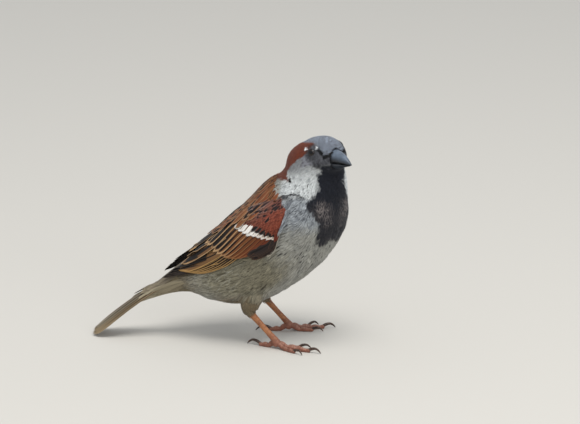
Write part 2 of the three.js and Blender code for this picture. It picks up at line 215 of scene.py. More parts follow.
# ---------------------------------------------------------------- markings
# The colours of the plumage, worked out from where a place lies on the head or the body.
# The skin and every feather take theirs from here, so both carry the same markings.
SPINE = [  # slices of the straight body: x, z, lean in degrees, half height, half width
    (-60, 16.8, 33, 1.2, 2.6), (-51, 22, 28, 3, 5), (-42, 26.2, 20, 6, 8), (-31, 27.8, 18, 12.2, 13.2),
    (-17, 33, 33, 18.6, 17.2), (0.2, 46.4, 46, 20.4, 18.8), (10.8, 61, 58, 18.8, 17.8),
    (15.2, 71.6, 68, 14.3, 13.6), (16.3, 80, 74, 12.9, 10.9), (16.6, 86.2, 80, 9.2, 8.6),
]
CHEEK_LINE = ([-9.0, -8.2, -6.9, -4.6, -1.6, 0.1, 1.3, 5.2],
              [-4.6, -4.7, -7.2, -7.6, -4.4, -2.1, 0.4, 3.6])  # height, ahead
CHIN = ([-9, -6, -3], [5.6, 6.0, 6.2])  # height, half width
LORE_FOOT = ([5, 7.5, 10], [-3.0, -4.4, -6.5])  # ahead, height
BIB = ([44.5, 46.5, 51.6, 57, 62.7, 66.5, 69.5, 71.8, 77],
       [2.5, 6.5, 9.3, 8.6, 11.0, 10.6, 7.6, 5.9, 6.0])  # height, half width
BIB_MIDDLE = ([58, 70], [0, -2.8])  # height, how far to the left
THROAT_LINE = ([4, 8.8, 15.2, 20.2], [67.4, 68.6, 69.6, 68.3])  # ahead, height
MANTLE_FRONT = ([18, 46, 60, 75, 90], [0.70, 0.672, 0.69, 0.715, 0.735])  # angle, along the spine


def smooth_line(points, t):
    """Places along a smooth curve through the points, t from 0 to 1."""
    p = np.asarray(points, float)
    p = np.concatenate([[2 * p[0] - p[1]], p, [2 * p[-1] - p[-2]]])
    at = np.clip(np.asarray(t, float), 0, 1) * (len(p) - 3)
    i = np.minimum(at.astype(int), len(p) - 4)
    w = (at - i)[..., None]
    a, b, c, d = p[i], p[i + 1], p[i + 2], p[i + 3]
    return 0.5 * (2 * b + (c - a) * w + (2 * a - 5 * b + 4 * c - d) * w**2 + (3 * b - a - 3 * c + d) * w**3)


def spine(s):
    """Middle, ahead and up of the slice at s, on the straight body."""
    x, z, lean = np.moveaxis(smooth_line(SPINE, s)[..., :3], -1, 0)
    cos, sin, nought = np.cos(np.radians(lean)), np.sin(np.radians(lean)), np.zeros_like(lean)
    return tuple(np.stack(v, -1) for v in ((x, nought, z), (cos, nought, sin), (-sin, nought, cos)))


def chart(p):
    """How far along the spine a straight place lies (0 tail, 1 crown), and its angle round it."""
    s = np.linspace(0, 1, 91)
    middle, ahead, up = spine(s)
    apart = p[:, None] - middle
    i = ((apart * ahead).sum(-1) ** 2 + 0.02 * (apart**2).sum(-1)).argmin(1)
    offset = p - middle[i]
    return s[i], np.degrees(np.arctan2((offset * up[i]).sum(-1), np.abs(offset[:, 1])))


def rgb(tone):
    """A colour as light, from its six letters and figures; any other colour is left alone."""
    if not isinstance(tone, str):
        return tone
    c = np.array([int(tone[i:i + 2], 16) for i in (0, 2, 4)]) / 255
    return np.where(c <= 0.04045, c / 12.92, ((c + 0.055) / 1.055) ** 2.4)


def mix(colour, *others):
    """A colour with others laid over it in turn, each given as (colour, share)."""
    colour = rgb(colour)
    for other, share in others:
        share = np.asarray(share)[:, None]
        colour = colour * (1 - share) + rgb(other) * share
    return colour


def ripple(p, size, seed=0):
    """Soft unevenness between -1 and 1, about size across, the same on every run."""
    turn = np.random.default_rng(seed).normal(size=(6, 3)) / size * 2.4
    return sum(np.sin(p @ t + 7 * i) for i, t in enumerate(turn)) / 3.2


def spot(h, at, radius):
    apart = np.stack([h[:, 0] - at[0], np.abs(h[:, 1]) - at[1], h[:, 2] - at[2]], -1)
    return 1 - step(radius * 0.75, radius * 1.25, np.linalg.norm(apart, axis=1))


def zones(points):
    """How strongly each marking shows at each place."""
    h, p = to_head(points), straight(points)
    f, a, u = h[:, 0], np.abs(h[:, 1]), h[:, 2]
    x, y, z = p.T
    s, angle = chart(p)
    wave, fine = ripple(points, 3.0), ripple(points, 1.3, 5)
    brow = np.where(f > 10, 3.7 - 0.41 * a, 4.1 - 0.77 * (f - 7.9))
    cap = step(-0.4, 0.4, 5.0 + 0.2 * np.minimum(f + 2, 0) - a + 0.3 * fine)
    top = np.where(f > 6, step(-0.5, 0.5, u - brow + 0.3 * fine), cap)
    nape = step(-9.5, -8.5, u) * np.where(f < -3, 1, step(2.0, 4.0, u))
    crown = top * step(-9.0, -7.5, u) * np.where(f > 6, 1, nape)
    behind = step(0.5, -0.5, f - np.interp(u, *CHEEK_LINE) + 0.35 * fine) * step(4.2, 3.2, f)
    aside = np.abs(y - np.interp(z, *BIB_MIDDLE)) - np.interp(z, *BIB)
    bib = step(0.7, -0.7, aside + 0.9 * wave) * step(14, 17, x)
    bib = bib * step(44.3, 46.3, z + wave - 2.4 * step(-6.5, -3.5, y)) * step(80, 78.5, z)
    chin = step(0.5, -0.5, a - np.interp(u, *CHIN) + 0.4 * fine)
    chin = chin * step(3.0, 4.0, f) * step(-2.6, -3.4, u) * step(76.5, 78, z)
    lore = step(4.2, 6.0, f + 0.6 * fine) * step(-0.5, 0.5, u - np.interp(f, *LORE_FOOT) + 0.3 * wave)
    dusky = step(-0.4, 0.6, f + 0.3 * fine) * step(-3.1, -2.3, u + 0.4 * wave) * (1 - top) * (1 - behind)
    above = z + 0.5 * fine + 0.06 * np.maximum(x - 12, 0)
    collar = step(-3.5, -10.0, u + 0.7 * wave) * step(67.8, 69.4, above) * step(2.5, 5.5, x + 0.5 * wave)
    throat = step(1.0, 0.4, np.abs(z - np.interp(x, *THROAT_LINE) + 0.3 * wave)) * step(3, 6, x)
    back = step(0.36, 0.42, s) * step(18, 26, angle)
    return SimpleNamespace(
        h=h, p=p, s=s, wave=wave, fine=fine, crown=crown, chin=chin, bib=np.maximum(bib, chin), dusky=dusky,
        collar=collar,
        head=step(-10.5, -8.0, u + 0.25 * np.minimum(f, 0) + 0.4 * wave),
        chestnut=behind * step(-9.0, -8.2, u + 0.4 * fine) * (1 - crown),
        lore=lore * (1 - top),
        line=step(1.1, 0.5, np.abs(u - brow + 0.5)) * step(6.6, 7.4, f),
        ring=step(4.3, 3.3, np.linalg.norm(np.stack([f, a, u], -1) - EYE, axis=1) + 0.25 * fine),
        spots=np.maximum(spot(h, (0.4, 7.7, 4.4), 0.8),
                         spot(h + np.outer(h[:, 1] > 0, (1.5, 0, 0)), (6.3, 6.0, 4.9), 0.72)),
        nape_mark=spot(h, (-4.3, 14.9, -8.4), 1.0),
        throat=throat * step(21, 18, x) * step(8, 10, np.abs(y)),
        back=back * step(0.01, -0.01, s - np.interp(angle, *MANTLE_FRONT) + 0.008 * wave),
        rump=step(0.42, 0.36, s) * step(10, 35, angle),
        side=step(50, 60, z) * step(70, 68, z) * step(5, 9, x),
        flank=step(0.62, 0.5, s) * step(8, 15, np.abs(y)),
        vent=step(0.36, 0.2, s),
        thigh=step(24, 17, z) * step(-30, -22, x) * step(4, 8, np.abs(y)),
    )


def paint(q):
    """The main colour at each place."""
    ahead, _, up = q.h.T
    return mix(
        "93938d", ("a6a59d", step(0, 1, 0.5 + 0.5 * q.wave) * 0.7), ("9ba1a7", q.side * 0.9),
        ("63676e", q.side * step(0.25, 0.75, ripple(q.p, 1.9, 9)) * 0.75), ("777058", q.flank * 0.8),
        ("6d6045", q.vent * 0.9), ("6f6658", q.rump), ("8f5f3c", q.back), ("71644e", q.thigh),
        (mix("828486", ("b2b5b5", step(-1.5, -8, up - 0.35 * ahead))), q.head), ("d6dada", q.collar),
        ("8b9092", (q.collar + q.head) * step(0.2, 1.0, ripple(q.p, 1.4, 12)) * 0.5),
        ("898a92", q.dusky * 0.9),
        ("3d3b40", 2.6 * q.dusky * (1 - q.dusky) * step(6, 4, ahead) * (1 - q.chestnut)),
        ("652e1f", q.chestnut), ("929bab", q.crown), ("26272c", q.lore * (0.85 + 0.15 * q.fine)),
        ("2c2d31", q.throat * 0.9), ("131316", q.line),
        (mix("1b1e27", ("28282d", step(68, 60, q.p[:, 2]))), q.bib), ("26262a", q.ring * 0.85),
        ("16130f", q.nape_mark), ("e8eaec", q.spots))


def with_alpha(colours, alpha=1.0):
    return np.column_stack([colours, np.broadcast_to(alpha, len(colours))])


def paint_mesh(thing, name, colours):
    layer = thing.data.color_attributes.new(name, "FLOAT_COLOR", "POINT")
    layer.data.foreach_set("color", np.clip(colours, 0, 1).astype(np.float32).ravel())


paint_mesh(skin, "base", with_alpha(paint(zones(outline)) * 0.8))

# ---------------------------------------------------------------- plumage finishes
# Keratin barbs: matt, a little silky, streaked along their length. One shader group draws a
# feather's pattern (body colour, edge and dark middle) and the barbs' relief for every coat piece.
class Wire:
    """A value on its way between nodes. Sums done with wires add the nodes that work them out."""

    def __init__(self, tree, end):
        self.tree, self.end = tree, end

    def sum(self, operation, a, b=0.0):
        return add(self.tree, "Math", {0: a, 1: b}, operation=operation)

    def root(self):
        return self.sum("SQRT", self)

    def at_least(self, low):
        return self.sum("MAXIMUM", self, low)

    def at_most(self, high):
        return self.sum("MINIMUM", self, high)

    def __abs__(self):
        return self.sum("ABSOLUTE", self)


SUMS = {"add": "ADD", "sub": "SUBTRACT", "mul": "MULTIPLY", "truediv": "DIVIDE", "pow": "POWER"}
for sign, name in SUMS.items():
    setattr(Wire, f"__{sign}__", lambda self, other, name=name: self.sum(name, self, other))
    setattr(Wire, f"__r{sign}__", lambda self, other, name=name: self.sum(name, other, self))


def fed(tree, socket, value):
    """Sets a socket, or runs a wire into it."""
    if isinstance(value, Wire):
        tree.links.new(value.end, socket)
    else:
        socket.default_value = value


def add(tree, kind, values=(), out=0, **settings):
    """A new node, as the wire from one of its outputs."""
    node = tree.nodes.new("ShaderNode" + kind)
    for name, value in settings.items():
        setattr(node, name, value)
    for place, value in dict(values).items():
        fed(tree, node.inputs[place], value)
    return Wire(tree, node.outputs[out])


def ramped(value, low, high, start=0.0, end=1.0, kind="SMOOTHSTEP"):
    """Runs from start to end while the value runs from low to high."""
    return add(value.tree, "MapRange", {0: value, 1: low, 2: high, 3: start, 4: end}, interpolation_type=kind)


def blended(share, a, b):
    """Colour a where the share is 0 and b where it is 1."""
    a, b = (c if isinstance(c, Wire) else (*rgb(c), 1) for c in (a, b))
    return add(share.tree, "Mix", {0: share, 6: a, 7: b}, out=2, data_type="RGBA", blend_type="MIX")


def scaled(colour, amount):
    return add(colour.tree, "VectorMath", {0: colour, "Scale": amount}, operation="SCALE")


def noise(place, scale, detail, roughness=0.5):
    values = {"Vector": place, "Scale": scale, "Detail": detail, "Roughness": roughness}
    return add(place.tree, "TexNoise", values)


def place_on(tree):
    return add(tree, "TexCoord", out="Object")


def attribute(tree, name, out="Color"):
    return add(tree, "Attribute", out=out, attribute_name=name)


def new_finish(name, values):
    """A material, its node tree and its surface shader with the values set."""
    made = bpy.data.materials.new(name)
    made.use_nodes = True
    surface = made.node_tree.nodes["Principled BSDF"]
    for label, value in values.items():
        surface.inputs[label].default_value = value
    return made, made.node_tree, surface


def show(surface, label, wire):
    fed(wire.tree, surface.inputs[label], wire)


def relief(surface, height, strength, distance):
    values = {"Height": height, "Strength": strength, "Distance": distance}
    show(surface, "Normal", add(height.tree, "Bump", values))


pattern = bpy.data.node_groups.new("feather pattern", "ShaderNodeTree")
GREY = (0.5, 0.5, 0.5, 1)
INPUTS = {"Base": GREY, "Edge": GREY, "Core": GREY, "Edge Width": 0.2, "Core Width": 0.0, "Blade": (0, 0, 0),
          "Barbs": 1.0}
for label, default in INPUTS.items():
    kind = "Float" if isinstance(default, float) else "Color" if default is GREY else "Vector"
    made = pattern.interface.new_socket(label, in_out="INPUT", socket_type="NodeSocket" + kind)
    made.default_value = default
for label, kind in (("Color", "Color"), ("Height", "Float")):
    pattern.interface.new_socket(label, in_out="OUTPUT", socket_type="NodeSocket" + kind)
given, result = pattern.nodes.new("NodeGroupInput"), pattern.nodes.new("NodeGroupOutput")
base, edge, core, edge_width, core_width, blade, barbs = (
    Wire(pattern, given.outputs[label]) for label in INPUTS)
split = add(pattern, "SeparateXYZ", {0: blade}).end.node
across, along, which = (Wire(pattern, end) for end in split.outputs)
width = abs(across)
shift = which * 37.0  # another stretch of noise for each feather


def stretch(x, y):
    return add(pattern, "CombineXYZ", {0: x, 1: y, 2: shift})


streak = noise(stretch(across * 4.5, along * 1.6), scale=1.0, detail=2.0, roughness=0.6)
ragged = width + (streak - 0.5) * 0.45
tipness = ((along - 0.62) / 0.38).at_least(0.0)
reach = (ragged.at_least(0.0) ** 2.0 + tipness**2.0).root()
rim = 1.0 - edge_width
edge_share = ramped(reach, rim - 0.07, rim + 0.07) * ramped(edge_width, 0.0, 0.04)
half = core_width * (along * 1.2 + 0.25).at_most(1.0)
core_share = ramped(ragged, half * 0.75, half * 1.2 + 0.02, 1.0, 0.0) * ramped(core_width, 0.0, 0.05)
core_share = core_share * ramped(tipness, 0.55, 0.85, 1.0, 0.0)
colour = blended(edge_share, blended(core_share, base, core), edge)
barb = noise(stretch(across * 11.0, along * 5.0 - width * 3.0), scale=1.0, detail=1.0)
lightness = 1.0 + ((barb - 0.5) + (streak - 0.5)) * (barbs * 0.85)
fed(pattern, result.inputs["Color"], scaled(colour, lightness))
fed(pattern, result.inputs["Height"], barb * 0.5 + streak * 0.5)


def feather_finish(name, roughness, sheen, barbs, bump):
    made, t, surface = new_finish(name, {
        "Roughness": roughness, "Specular IOR Level": 0.22, "Sheen Weight": sheen, "Sheen Roughness": 0.5})
    base, edge, core = (attribute(t, kind) for kind in ("base", "edge", "core"))
    blade = attribute(t, "blade", "Vector")
    drawn = t.nodes.new("ShaderNodeGroup")
    drawn.node_tree = pattern
    edge_width, core_width = (Wire(t, wire.end.node.outputs["Alpha"]) for wire in (edge, core))
    for label, value in zip(INPUTS, (base, edge, core, edge_width, core_width, blade, barbs)):
        fed(t, drawn.inputs[label], value)
    show(surface, "Base Color", Wire(t, drawn.outputs["Color"]))
    relief(surface, Wire(t, drawn.outputs["Height"]), bump, distance=0.0003)
    return made


skin_finish, t, surface = new_finish("skin under the feathers", {"Roughness": 0.9})
down = noise(place_on(t), scale=900.0, detail=3.0)
shade = ramped(down, 0.3, 0.7, 0.75, 1.1, "LINEAR")
show(surface, "Base Color", scaled(attribute(t, "base"), shade))
relief(surface, down, strength=0.4, distance=0.0003)
skin.data.materials.append(skin_finish)
soft_plumage = feather_finish("soft contour feathers", roughness=0.85, sheen=0.12, barbs=1.0, bump=0.5)
firm_plumage = feather_finish("firm vaned feathers", roughness=0.66, sheen=0.02, barbs=0.55, bump=0.35)


# ---------------------------------------------------------------- small feathers of head and body
# Contour feathers: short, thin, overlapping vanes with frayed tips, lying back along the bird.
# They are joined meshes made from arrays: each starts on the skin and follows it by small steps.
rng = np.random.default_rng(11)
LID_REACH = 1.9  # feathers stay this far from the line through the eye's middle
PATCH = 0.003  # a small feather's patch on the map
ANKLES = {1: (-10.5, 10.6, 16.8), -1: (-12.4, -10.8, 16.2)}  # left and right, on the straight body
HEAD_MIDDLES = [(22, 0, -2), (12, 0, -0.5), (4, 0, 0), (-3, 0, -2)]
BODY_MIDDLES = [(16.2, 0, 79), (15.2, 0, 71.6), (10.8, 0, 61), (0.2, 0, 46.4),
                (-17, 0, 33), (-31, 0, 27.8), (-42, 0, 26.2), (-60, 0, 16.8)]
LENGTHS = ([0, 0.2, 0.4, 0.5, 0.6, 0.7, 0.8], [7, 7.5, 8, 7.4, 6, 4.2, 3.0])  # along the spine, length

guide = np.concatenate([in_head(HEAD_MIDDLES), bent(BODY_MIDDLES)])  # down the middle, from bill to tail
guide_way = unit(np.gradient(guide, axis=0))
thighs = [bent([(x + 6, y - s * 2, z + 12), (x + 2.3, y - s * 0.9, z + 5.2), (x + 1.8, y, z - 2.5)])
          for s, (x, y, z) in ANKLES.items()]
eye_axes = {s: head_matrix @ unit(np.array([0.5, s * 0.78, 0.34])) for s in (1, -1)}
eye_middles = {s: node_middle("eye_" + side) - 0.45 * eye_axes[s] for side, s in (("left", 1), ("right", -1))}


def lie(points):
    """Which way the feathers lie at each place, before it is laid on the surface."""
    apart = np.linalg.norm(points[:, None] - guide, axis=2)
    weight = np.exp(-((apart / 8.5) ** 2) + (apart.min(1, keepdims=True) / 8.5) ** 2)
    way = (weight[:, :, None] * guide_way).sum(1)
    x, y, z = straight(points).T
    shoulder = step(4, 7, x) * step(22, 16, x) * step(8, 12, np.abs(y)) * step(40, 48, z) * step(74, 68, z)
    way = unit(way) + np.array([-0.9, 0, 0.1]) * shoulder[:, None]
    for line in thighs:
        near = step(8.5, 5.0, np.linalg.norm(points - line[1], axis=1))
        low = (near * step(26, 21, points[:, 2]))[:, None]
        way = unit(way) * (1 - low) + unit(line[2] - line[0]) * low
    return unit(way)


def clear_of_eyes(points):
    for s in (1, -1):
        offset = points - eye_middles[s]
        out = offset @ eye_axes[s]
        aside = offset - out[:, None] * eye_axes[s]
        gap = np.linalg.norm(aside, axis=1, keepdims=True)
        near = (out > 0.3) & (out < 6) & (gap[:, 0] < LID_REACH)
        points = np.where(near[:, None], points + aside / np.maximum(gap, 1e-6) * (LID_REACH - gap), points)
    return points


def squared(way, other):
    """A direction made square to another."""
    return unit(way - (way * other).sum(-1, keepdims=True) * other)


def walk(tree, start, normal, length, runs, sway_angle):
    """Follows the surface from each start along the lie of the coat, in steps that end at runs."""
    points, normals, ways = [start], [normal], []
    turn = np.radians(sway_angle)[:, None]
    here, up = start, normal
    for before, now in zip(runs[:-1], runs[1:]):
        way = squared(lie(here), up)
        way = way * np.cos(turn) + np.cross(up, way) * np.sin(turn)
        here = clear_of_eyes(here + way * (length * (now - before))[:, None])
        found = [tree.find_nearest(Vector(p)) for p in here.tolist()]
        here = np.array([f[0] for f in found])
        up = unit(up * 0.4 + np.array([f[1] for f in found]) * 0.6)
        points.append(here)
        normals.append(up)
        ways.append(way)
    return tuple(np.stack(rows, 1) for rows in (points, normals, ways + ways[-1:]))


def vanes(path, up, way, half, lift, runs, cells, shape, rounding, camber, fray, seeds):
    """Many feathers at once: rows of points along each, the last row a frayed fringe. Gives points,
    four-sided and three-sided faces, each point's place on its feather, and points to a feather."""
    side = unit(np.cross(up, way))
    edges = np.linspace(-1, 1, cells + 1)
    middles = (edges[1:] + edges[:-1]) / 2
    frayed = fray * (seeds[:, None] * np.arange(7, 7 + cells) % 1 - 0.5) * 2
    half = half[:, None]
    grid, blades = [], []
    for k, run in enumerate(runs):
        c, longer = (edges, 0) if k < len(runs) - 1 else (middles, frayed)
        p = path[:, k, None] + side[:, k, None] * (half * shape[k] * c)[..., None]
        p = p + way[:, k, None] * (half * (longer - rounding * run**3 * c**2))[..., None]
        grid.append(p + up[:, k, None] * (lift[:, k, None] - camber * half * c**2)[..., None])
        place = np.broadcast_arrays(c[None], run - 0.12 * c[None] ** 2 * run**3, seeds[:, None])
        blades.append(np.stack(place, -1))
    points, blade = np.concatenate(grid, 1), np.concatenate(blades, 1)
    each, wide = points.shape[1], cells + 1
    row, cell = (v.ravel() for v in np.mgrid[:len(runs) - 2, :cells])
    corner, last = row * wide + cell, (len(runs) - 2) * wide + np.arange(cells)
    quads = np.stack([corner, corner + 1, corner + wide + 1, corner + wide], 1)
    ends = np.stack([last, last + 1, last + wide], 1)
    first = (np.arange(len(path)) * each)[:, None]
    faces = [(first + shapes.reshape(1, -1)).reshape(-1, shapes.shape[1]) for shapes in (quads, ends)]
    return points.reshape(-1, 3), *faces, blade.reshape(-1, 3), each


def feather_piece(name, made, colours, patch, material):
    """One joined mesh of feathers. colours: base, edge and core for each feather, the last two with
    their widths; patch: middle of each feather's patch on the map, and the patch's size."""
    points, quads, ends, blade, each = made
    mesh = bpy.data.meshes.new(name)
    corners = np.concatenate([quads.ravel(), ends.ravel()]).astype(np.int32)
    sizes = np.repeat([4, 3], [len(quads), len(ends)])
    mesh.vertices.add(len(points))
    mesh.vertices.foreach_set("co", (points * MM).ravel())
    mesh.loops.add(len(corners))
    mesh.loops.foreach_set("vertex_index", corners)
    mesh.polygons.add(len(sizes))
    mesh.polygons.foreach_set("loop_start", (np.cumsum(sizes) - sizes).astype(np.int32))
    mesh.polygons.foreach_set("use_smooth", np.ones(len(sizes), bool))
    mesh.update(calc_edges=True)
    mesh.validate()
    thing = shown(name, mesh)
    for label, values in zip(("base", "edge", "core"), colours):
        paint_mesh(thing, label, np.repeat(values, each, 0))
    layer = mesh.attributes.new("blade", "FLOAT_VECTOR", "POINT")
    layer.data.foreach_set("vector", blade.astype(np.float32).ravel())
    centre, size = patch
    uv = np.repeat(centre, each, 0) + np.stack([blade[:, 0] / 2, blade[:, 1] - 0.5], 1) * size
    mesh.uv_layers.new(name="OFBake").data.foreach_set("uv", uv[corners].astype(np.float32).ravel())
    mesh.materials.append(material)
    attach(thing, "root")
    return thing


def near_tree(points):
    tree = KDTree(len(points))
    for i, p in enumerate(points.tolist()):
        tree.insert(p, i)
    tree.balance()
    return tree


def scattered(surface, spacing_at, density):
    """Feather roots on a surface, about spacing_at(place) apart: place, normal and map place."""
    points, normals, faces, places = surface
    corner = points[faces]
    area = np.linalg.norm(np.cross(corner[:, 1] - corner[:, 0], corner[:, 2] - corner[:, 0]), axis=1) / 2
    spacing = spacing_at(corner.mean(1))
    want = area / spacing**2 * density
    face = rng.choice(len(area), int(want.sum()), p=want / want.sum())
    r = rng.random((len(face), 2))
    over = r.sum(1) > 1
    r[over] = 1 - r[over]
    share = np.concatenate([1 - r.sum(1, keepdims=True), r], 1)[:, :, None]
    place = (corner[face] * share).sum(1)
    level = np.round(np.log(spacing[face]) * 4)[:, None]
    cell = np.concatenate([np.floor(place / np.exp(level / 4)), level], 1)
    keep = np.sort(np.unique(cell, axis=0, return_index=True)[1])
    tree = near_tree(place[keep])
    gone = np.zeros(len(keep), bool)
    for i, (p, near) in enumerate(zip(place[keep].tolist(), (spacing[face[keep]] * 0.55).tolist())):
        if not gone[i]:
            for _, j, _ in tree.find_range(p, near):
                gone[j] |= j > i
    keep = keep[~gone]
    face, share = face[keep], share[keep]
    return place[keep], unit((normals[faces[face]] * share).sum(1)), (places[face] * share).sum(1)


def size_of(points):
    """Length of the contour feathers at each place."""
    h, p = to_head(points), straight(points)
    x, y, z = p.T
    body = np.interp(chart(p)[0], *LENGTHS)
    shoulder = step(9, 12, np.abs(y)) * step(42, 48, z) * step(72, 68, z)
    body = body + 2.6 * step(5, 9, x) * step(19, 15, x) * shoulder
    length = body + (2.3 - 0.9 * step(6, 11, h[:, 0]) - body) * step(-14, -6, h[:, 2])
    for line in thighs:
        low = step(9, 5, np.linalg.norm(points - line[1], axis=1)) * step(24, 19, points[:, 2])
        length = length + (2.8 - length) * low
    return length


def jitter(n, amount):
    return 1 + amount * rng.normal(size=n)


def mixed(n, a, b):
    """Colours anywhere between two."""
    return rgb(a) + (rgb(b) - rgb(a)) * rng.random((n, 1))


def distance_from(value, middle, width):
    return ((value - middle) / width) ** 2


def contour_colours(points):
    """Base, edge and core colours of the small feathers rooted at each place."""
    q, n = zones(points), len(points)
    x, y, z = q.p.T
    trunk = (1 - q.bib) * (1 - q.collar)
    soft = (1 - q.head) * trunk
    uneven = 0.10 * q.flank + 0.09 * soft * (1 - q.flank)
    base = paint(q) * jitter(n, 0.07)[:, None] * jitter(n, uneven)[:, None]
    grey = rng.normal(size=n)
    chance = rng.random((6, n))
    edge, core = base * 1.12 + 0.012, base * 0.62
    dark = (q.side * (grey > 0.3) + q.flank * (grey > 1.1)) * trunk
    front = step(0.5, 0.6, q.s) * (1 - q.side) * (1 - q.bib) * (1 - q.head) * (grey > 0.85)
    rear_flank = step(-42, -34, x) * step(-8, -18, x) * step(19, 25, z) * step(42, 35, z) * soft
    aside = np.abs(y + 1.5)
    worn = np.exp(-distance_from(aside, 6.5, 3.2) - distance_from(z, 64, 3.8))
    worn = worn + 0.5 * np.exp(-distance_from(aside, 3, 2.5) - distance_from(z, 59, 4))
    low_bib = q.bib * step(70, 66, z) * (1 - q.chin) * np.clip(worn + 0.25 * ripple(q.p, 2.0, 3), 0, 1)
    base = mix(base, ("454043", 0.6 * low_bib))
    plain = np.clip(q.spots + q.nape_mark + q.line, 0, 1)
    edge = mix(edge, ("c0c0b5", 0.4 * rear_flank * chance[0]),
               ("857d7a", np.clip(low_bib * (0.3 + chance[1]), 0, 0.9)),
               ("bcc5d0", q.crown * (0.5 + 0.5 * chance[3])), ("86888e", q.dusky * 0.5),
               ("707276", q.lore * (chance[5] > 0.88)), ("7c4227", q.chestnut), (base, plain))
    core = mix(core, (mix("4a4d52", ("575244", q.flank * (1 - q.side))), np.clip(dark, 0, 1)),
               ("2b2a28", front), ("23272f", q.crown), ("5c5d64", q.dusky * 0.8),
               ("471f18", q.chestnut), (base, plain))
    edge_width = 0.14 + 0.1 * rear_flank + low_bib * 0.5 * chance[2]
    core_width = 0.14 + 0.10 * soft * (grey > 0.2)
    for here, width in ((dark > 0.4, 0.3), (front > 0.4, 0.25), (q.crown > 0.5, 0.35 + 0.35 * chance[4])):
        core_width = np.where(here, width, core_width)
    return with_alpha(base), with_alpha(edge, edge_width), with_alpha(core, core_width)


def contour_coat(name, roots, normals, maps, cells, runs, shape, wild):
    n = len(roots)
    wispy = (rng.random(n) < 0.14) & (to_head(roots)[:, 2] < -20)  # a few long, narrow ones
    wisp = np.where(wispy, 1.5, 1.0)
    length = size_of(roots) * jitter(n, 0.1) * wisp
    path, up, way = walk(body_tree, roots, normals, length, runs, wild * rng.normal(size=n))
    half = (0.16 * length + 0.12) * jitter(n, 0.12) / wisp
    rise = np.array(runs)[None] ** 0.8
    lift = -0.95 * coat_depth(roots) * (1 - rise) + 0.12 * rise * rng.random((n, 1))
    made = vanes(path, up, way, half, lift, runs, cells, shape, rounding=0.55, camber=0.18, fray=0.35,
                 seeds=rng.random(n))
    colours = contour_colours((path[:, -3] + path[:, -2]) / 2)
    return feather_piece(name, made, colours, (maps, PATCH), soft_plumage)


root, root_up, root_map = scattered(body_surface, lambda p: 0.19 * size_of(p) + 0.12, density=7.0)
fine = np.ones(len(root), bool)
for s in (1, -1):  # none inside the eyes' openings
    offset = root - eye_middles[s]
    fine &= (np.linalg.norm(np.cross(offset, eye_axes[s]), axis=1) > LID_REACH) | (offset @ eye_axes[s] < 0)
ahead, aside, above = to_head(root).T
fine &= ~((np.abs(aside) < 3.6) & (ahead > 10.6) & (above < 2.6) & (above > -4.6))  # nor inside the bill
root, root_up, root_map = root[fine], root_up[fine], root_map[fine]

# ---------------------------------------------------------------- wings
# Folded wings: dark skin and down inside, and over it the flight feathers and the coverts,
# each a stiff vane laid at its own place on the wing's outer face, inner over outer.
WING_NODES = ["wing_coverts_", "wing_secondaries_", "wing_primaries_"]
EDGE = 60  # the wings' upper edges lie at this angle round the spine
FAR = 42  # from the middle of the body, beyond all of the bird
FIRM_RUNS = np.array([0, 0.15, 0.3, 0.45, 0.6, 0.72, 0.82, 0.89, 0.94, 0.975, 1.0])
ROUND_SHAPE = np.array([0.5, 0.7, 0.84, 0.94, 1.0, 1.0, 0.95, 0.84, 0.68, 0.48, 0.16])
BLUNT_SHAPE = np.array([0.5, 0.7, 0.84, 0.94, 1.0, 1.0, 1.0, 0.97, 0.9, 0.76, 0.45])
POINTED_SHAPE = np.array([0.55, 0.75, 0.9, 0.98, 1.0, 0.92, 0.78, 0.62, 0.46, 0.3, 0.08])
BLACK, BUFF, GOLD = "15100f", "b9966e", "ab8652"

wing_cores = {side: melted("wing_core_" + side, [node + side for node in WING_NODES],
                           voxel=0.5, swell=0.3, rounds=5) for side in ("right", "left")}
wing_faces = {side: unwrapped(core, margin=0.01) for side, core in wing_cores.items()}
wing_trees = [BVHTree.FromPolygons(face[0].tolist(), face[2].tolist()) for face in wing_faces.values()]
surfaces = [body_surface, *wing_faces.values()]
starts = np.cumsum([0] + [len(surface[0]) for surface in surfaces])
whole_tree = BVHTree.FromPolygons(
    np.concatenate([surface[0] for surface in surfaces]).tolist(),
    np.concatenate([surface[2] + start for surface, start in zip(surfaces, starts)]).tolist())
for side, core in wing_cores.items():  # drawn in under the feathers at the front and the edges
    shape = vertices_of(core)
    flat = straight(shape)
    x, level = flat[:, 0], chart(flat)[1]
    inward = 1 if side == "right" else -1
    tucked = np.stack([-1.2 * step(1, 7, x), inward * (0.8 * step(-40, -22, x) + 1.2 * step(1, 7, x)),
                       (1.5 * step(24, 12, level) - 0.8 * step(45, 60, level)) * step(-46, -38, x)], 1)
    heart = shape[np.abs(x + 44) < 2].mean(0)
    tucked += (heart - shape) * 0.7 * step(-43, -52, x)[:, None]
    put_vertices(core, shape - normals_of(core) * 0.05 + tucked)
    paint_mesh(core, "base", with_alpha(mix("2a221d", ("5a3226", step(-22, -12, x)))))
    core.data.materials.append(skin_finish)
    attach(core, "root")
    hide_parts(*[node + side for node in WING_NODES])


def cast(s, angle, sign):
    """The outermost surface seen from places along the spine and round it, and its normal there."""
    middle, _, up = spine(s.ravel())
    round_it = np.radians(angle.ravel())[:, None]
    outward = up * np.sin(round_it) + np.array([0, sign, 0]) * np.cos(round_it)
    far, near = bent(middle + FAR * outward), bent(middle)
    points, normals = [], []
    for start, way, end in zip(far.tolist(), unit(near - far).tolist(), near.tolist()):
        at, facing, _, _ = whole_tree.ray_cast(Vector(start), Vector(way), 60)
        points.append(end if at is None else at)
        normals.append(-Vector(way) if at is None else facing)
    return np.array(points).reshape(s.shape + (3,)), unit(np.array(normals)).reshape(s.shape + (3,))


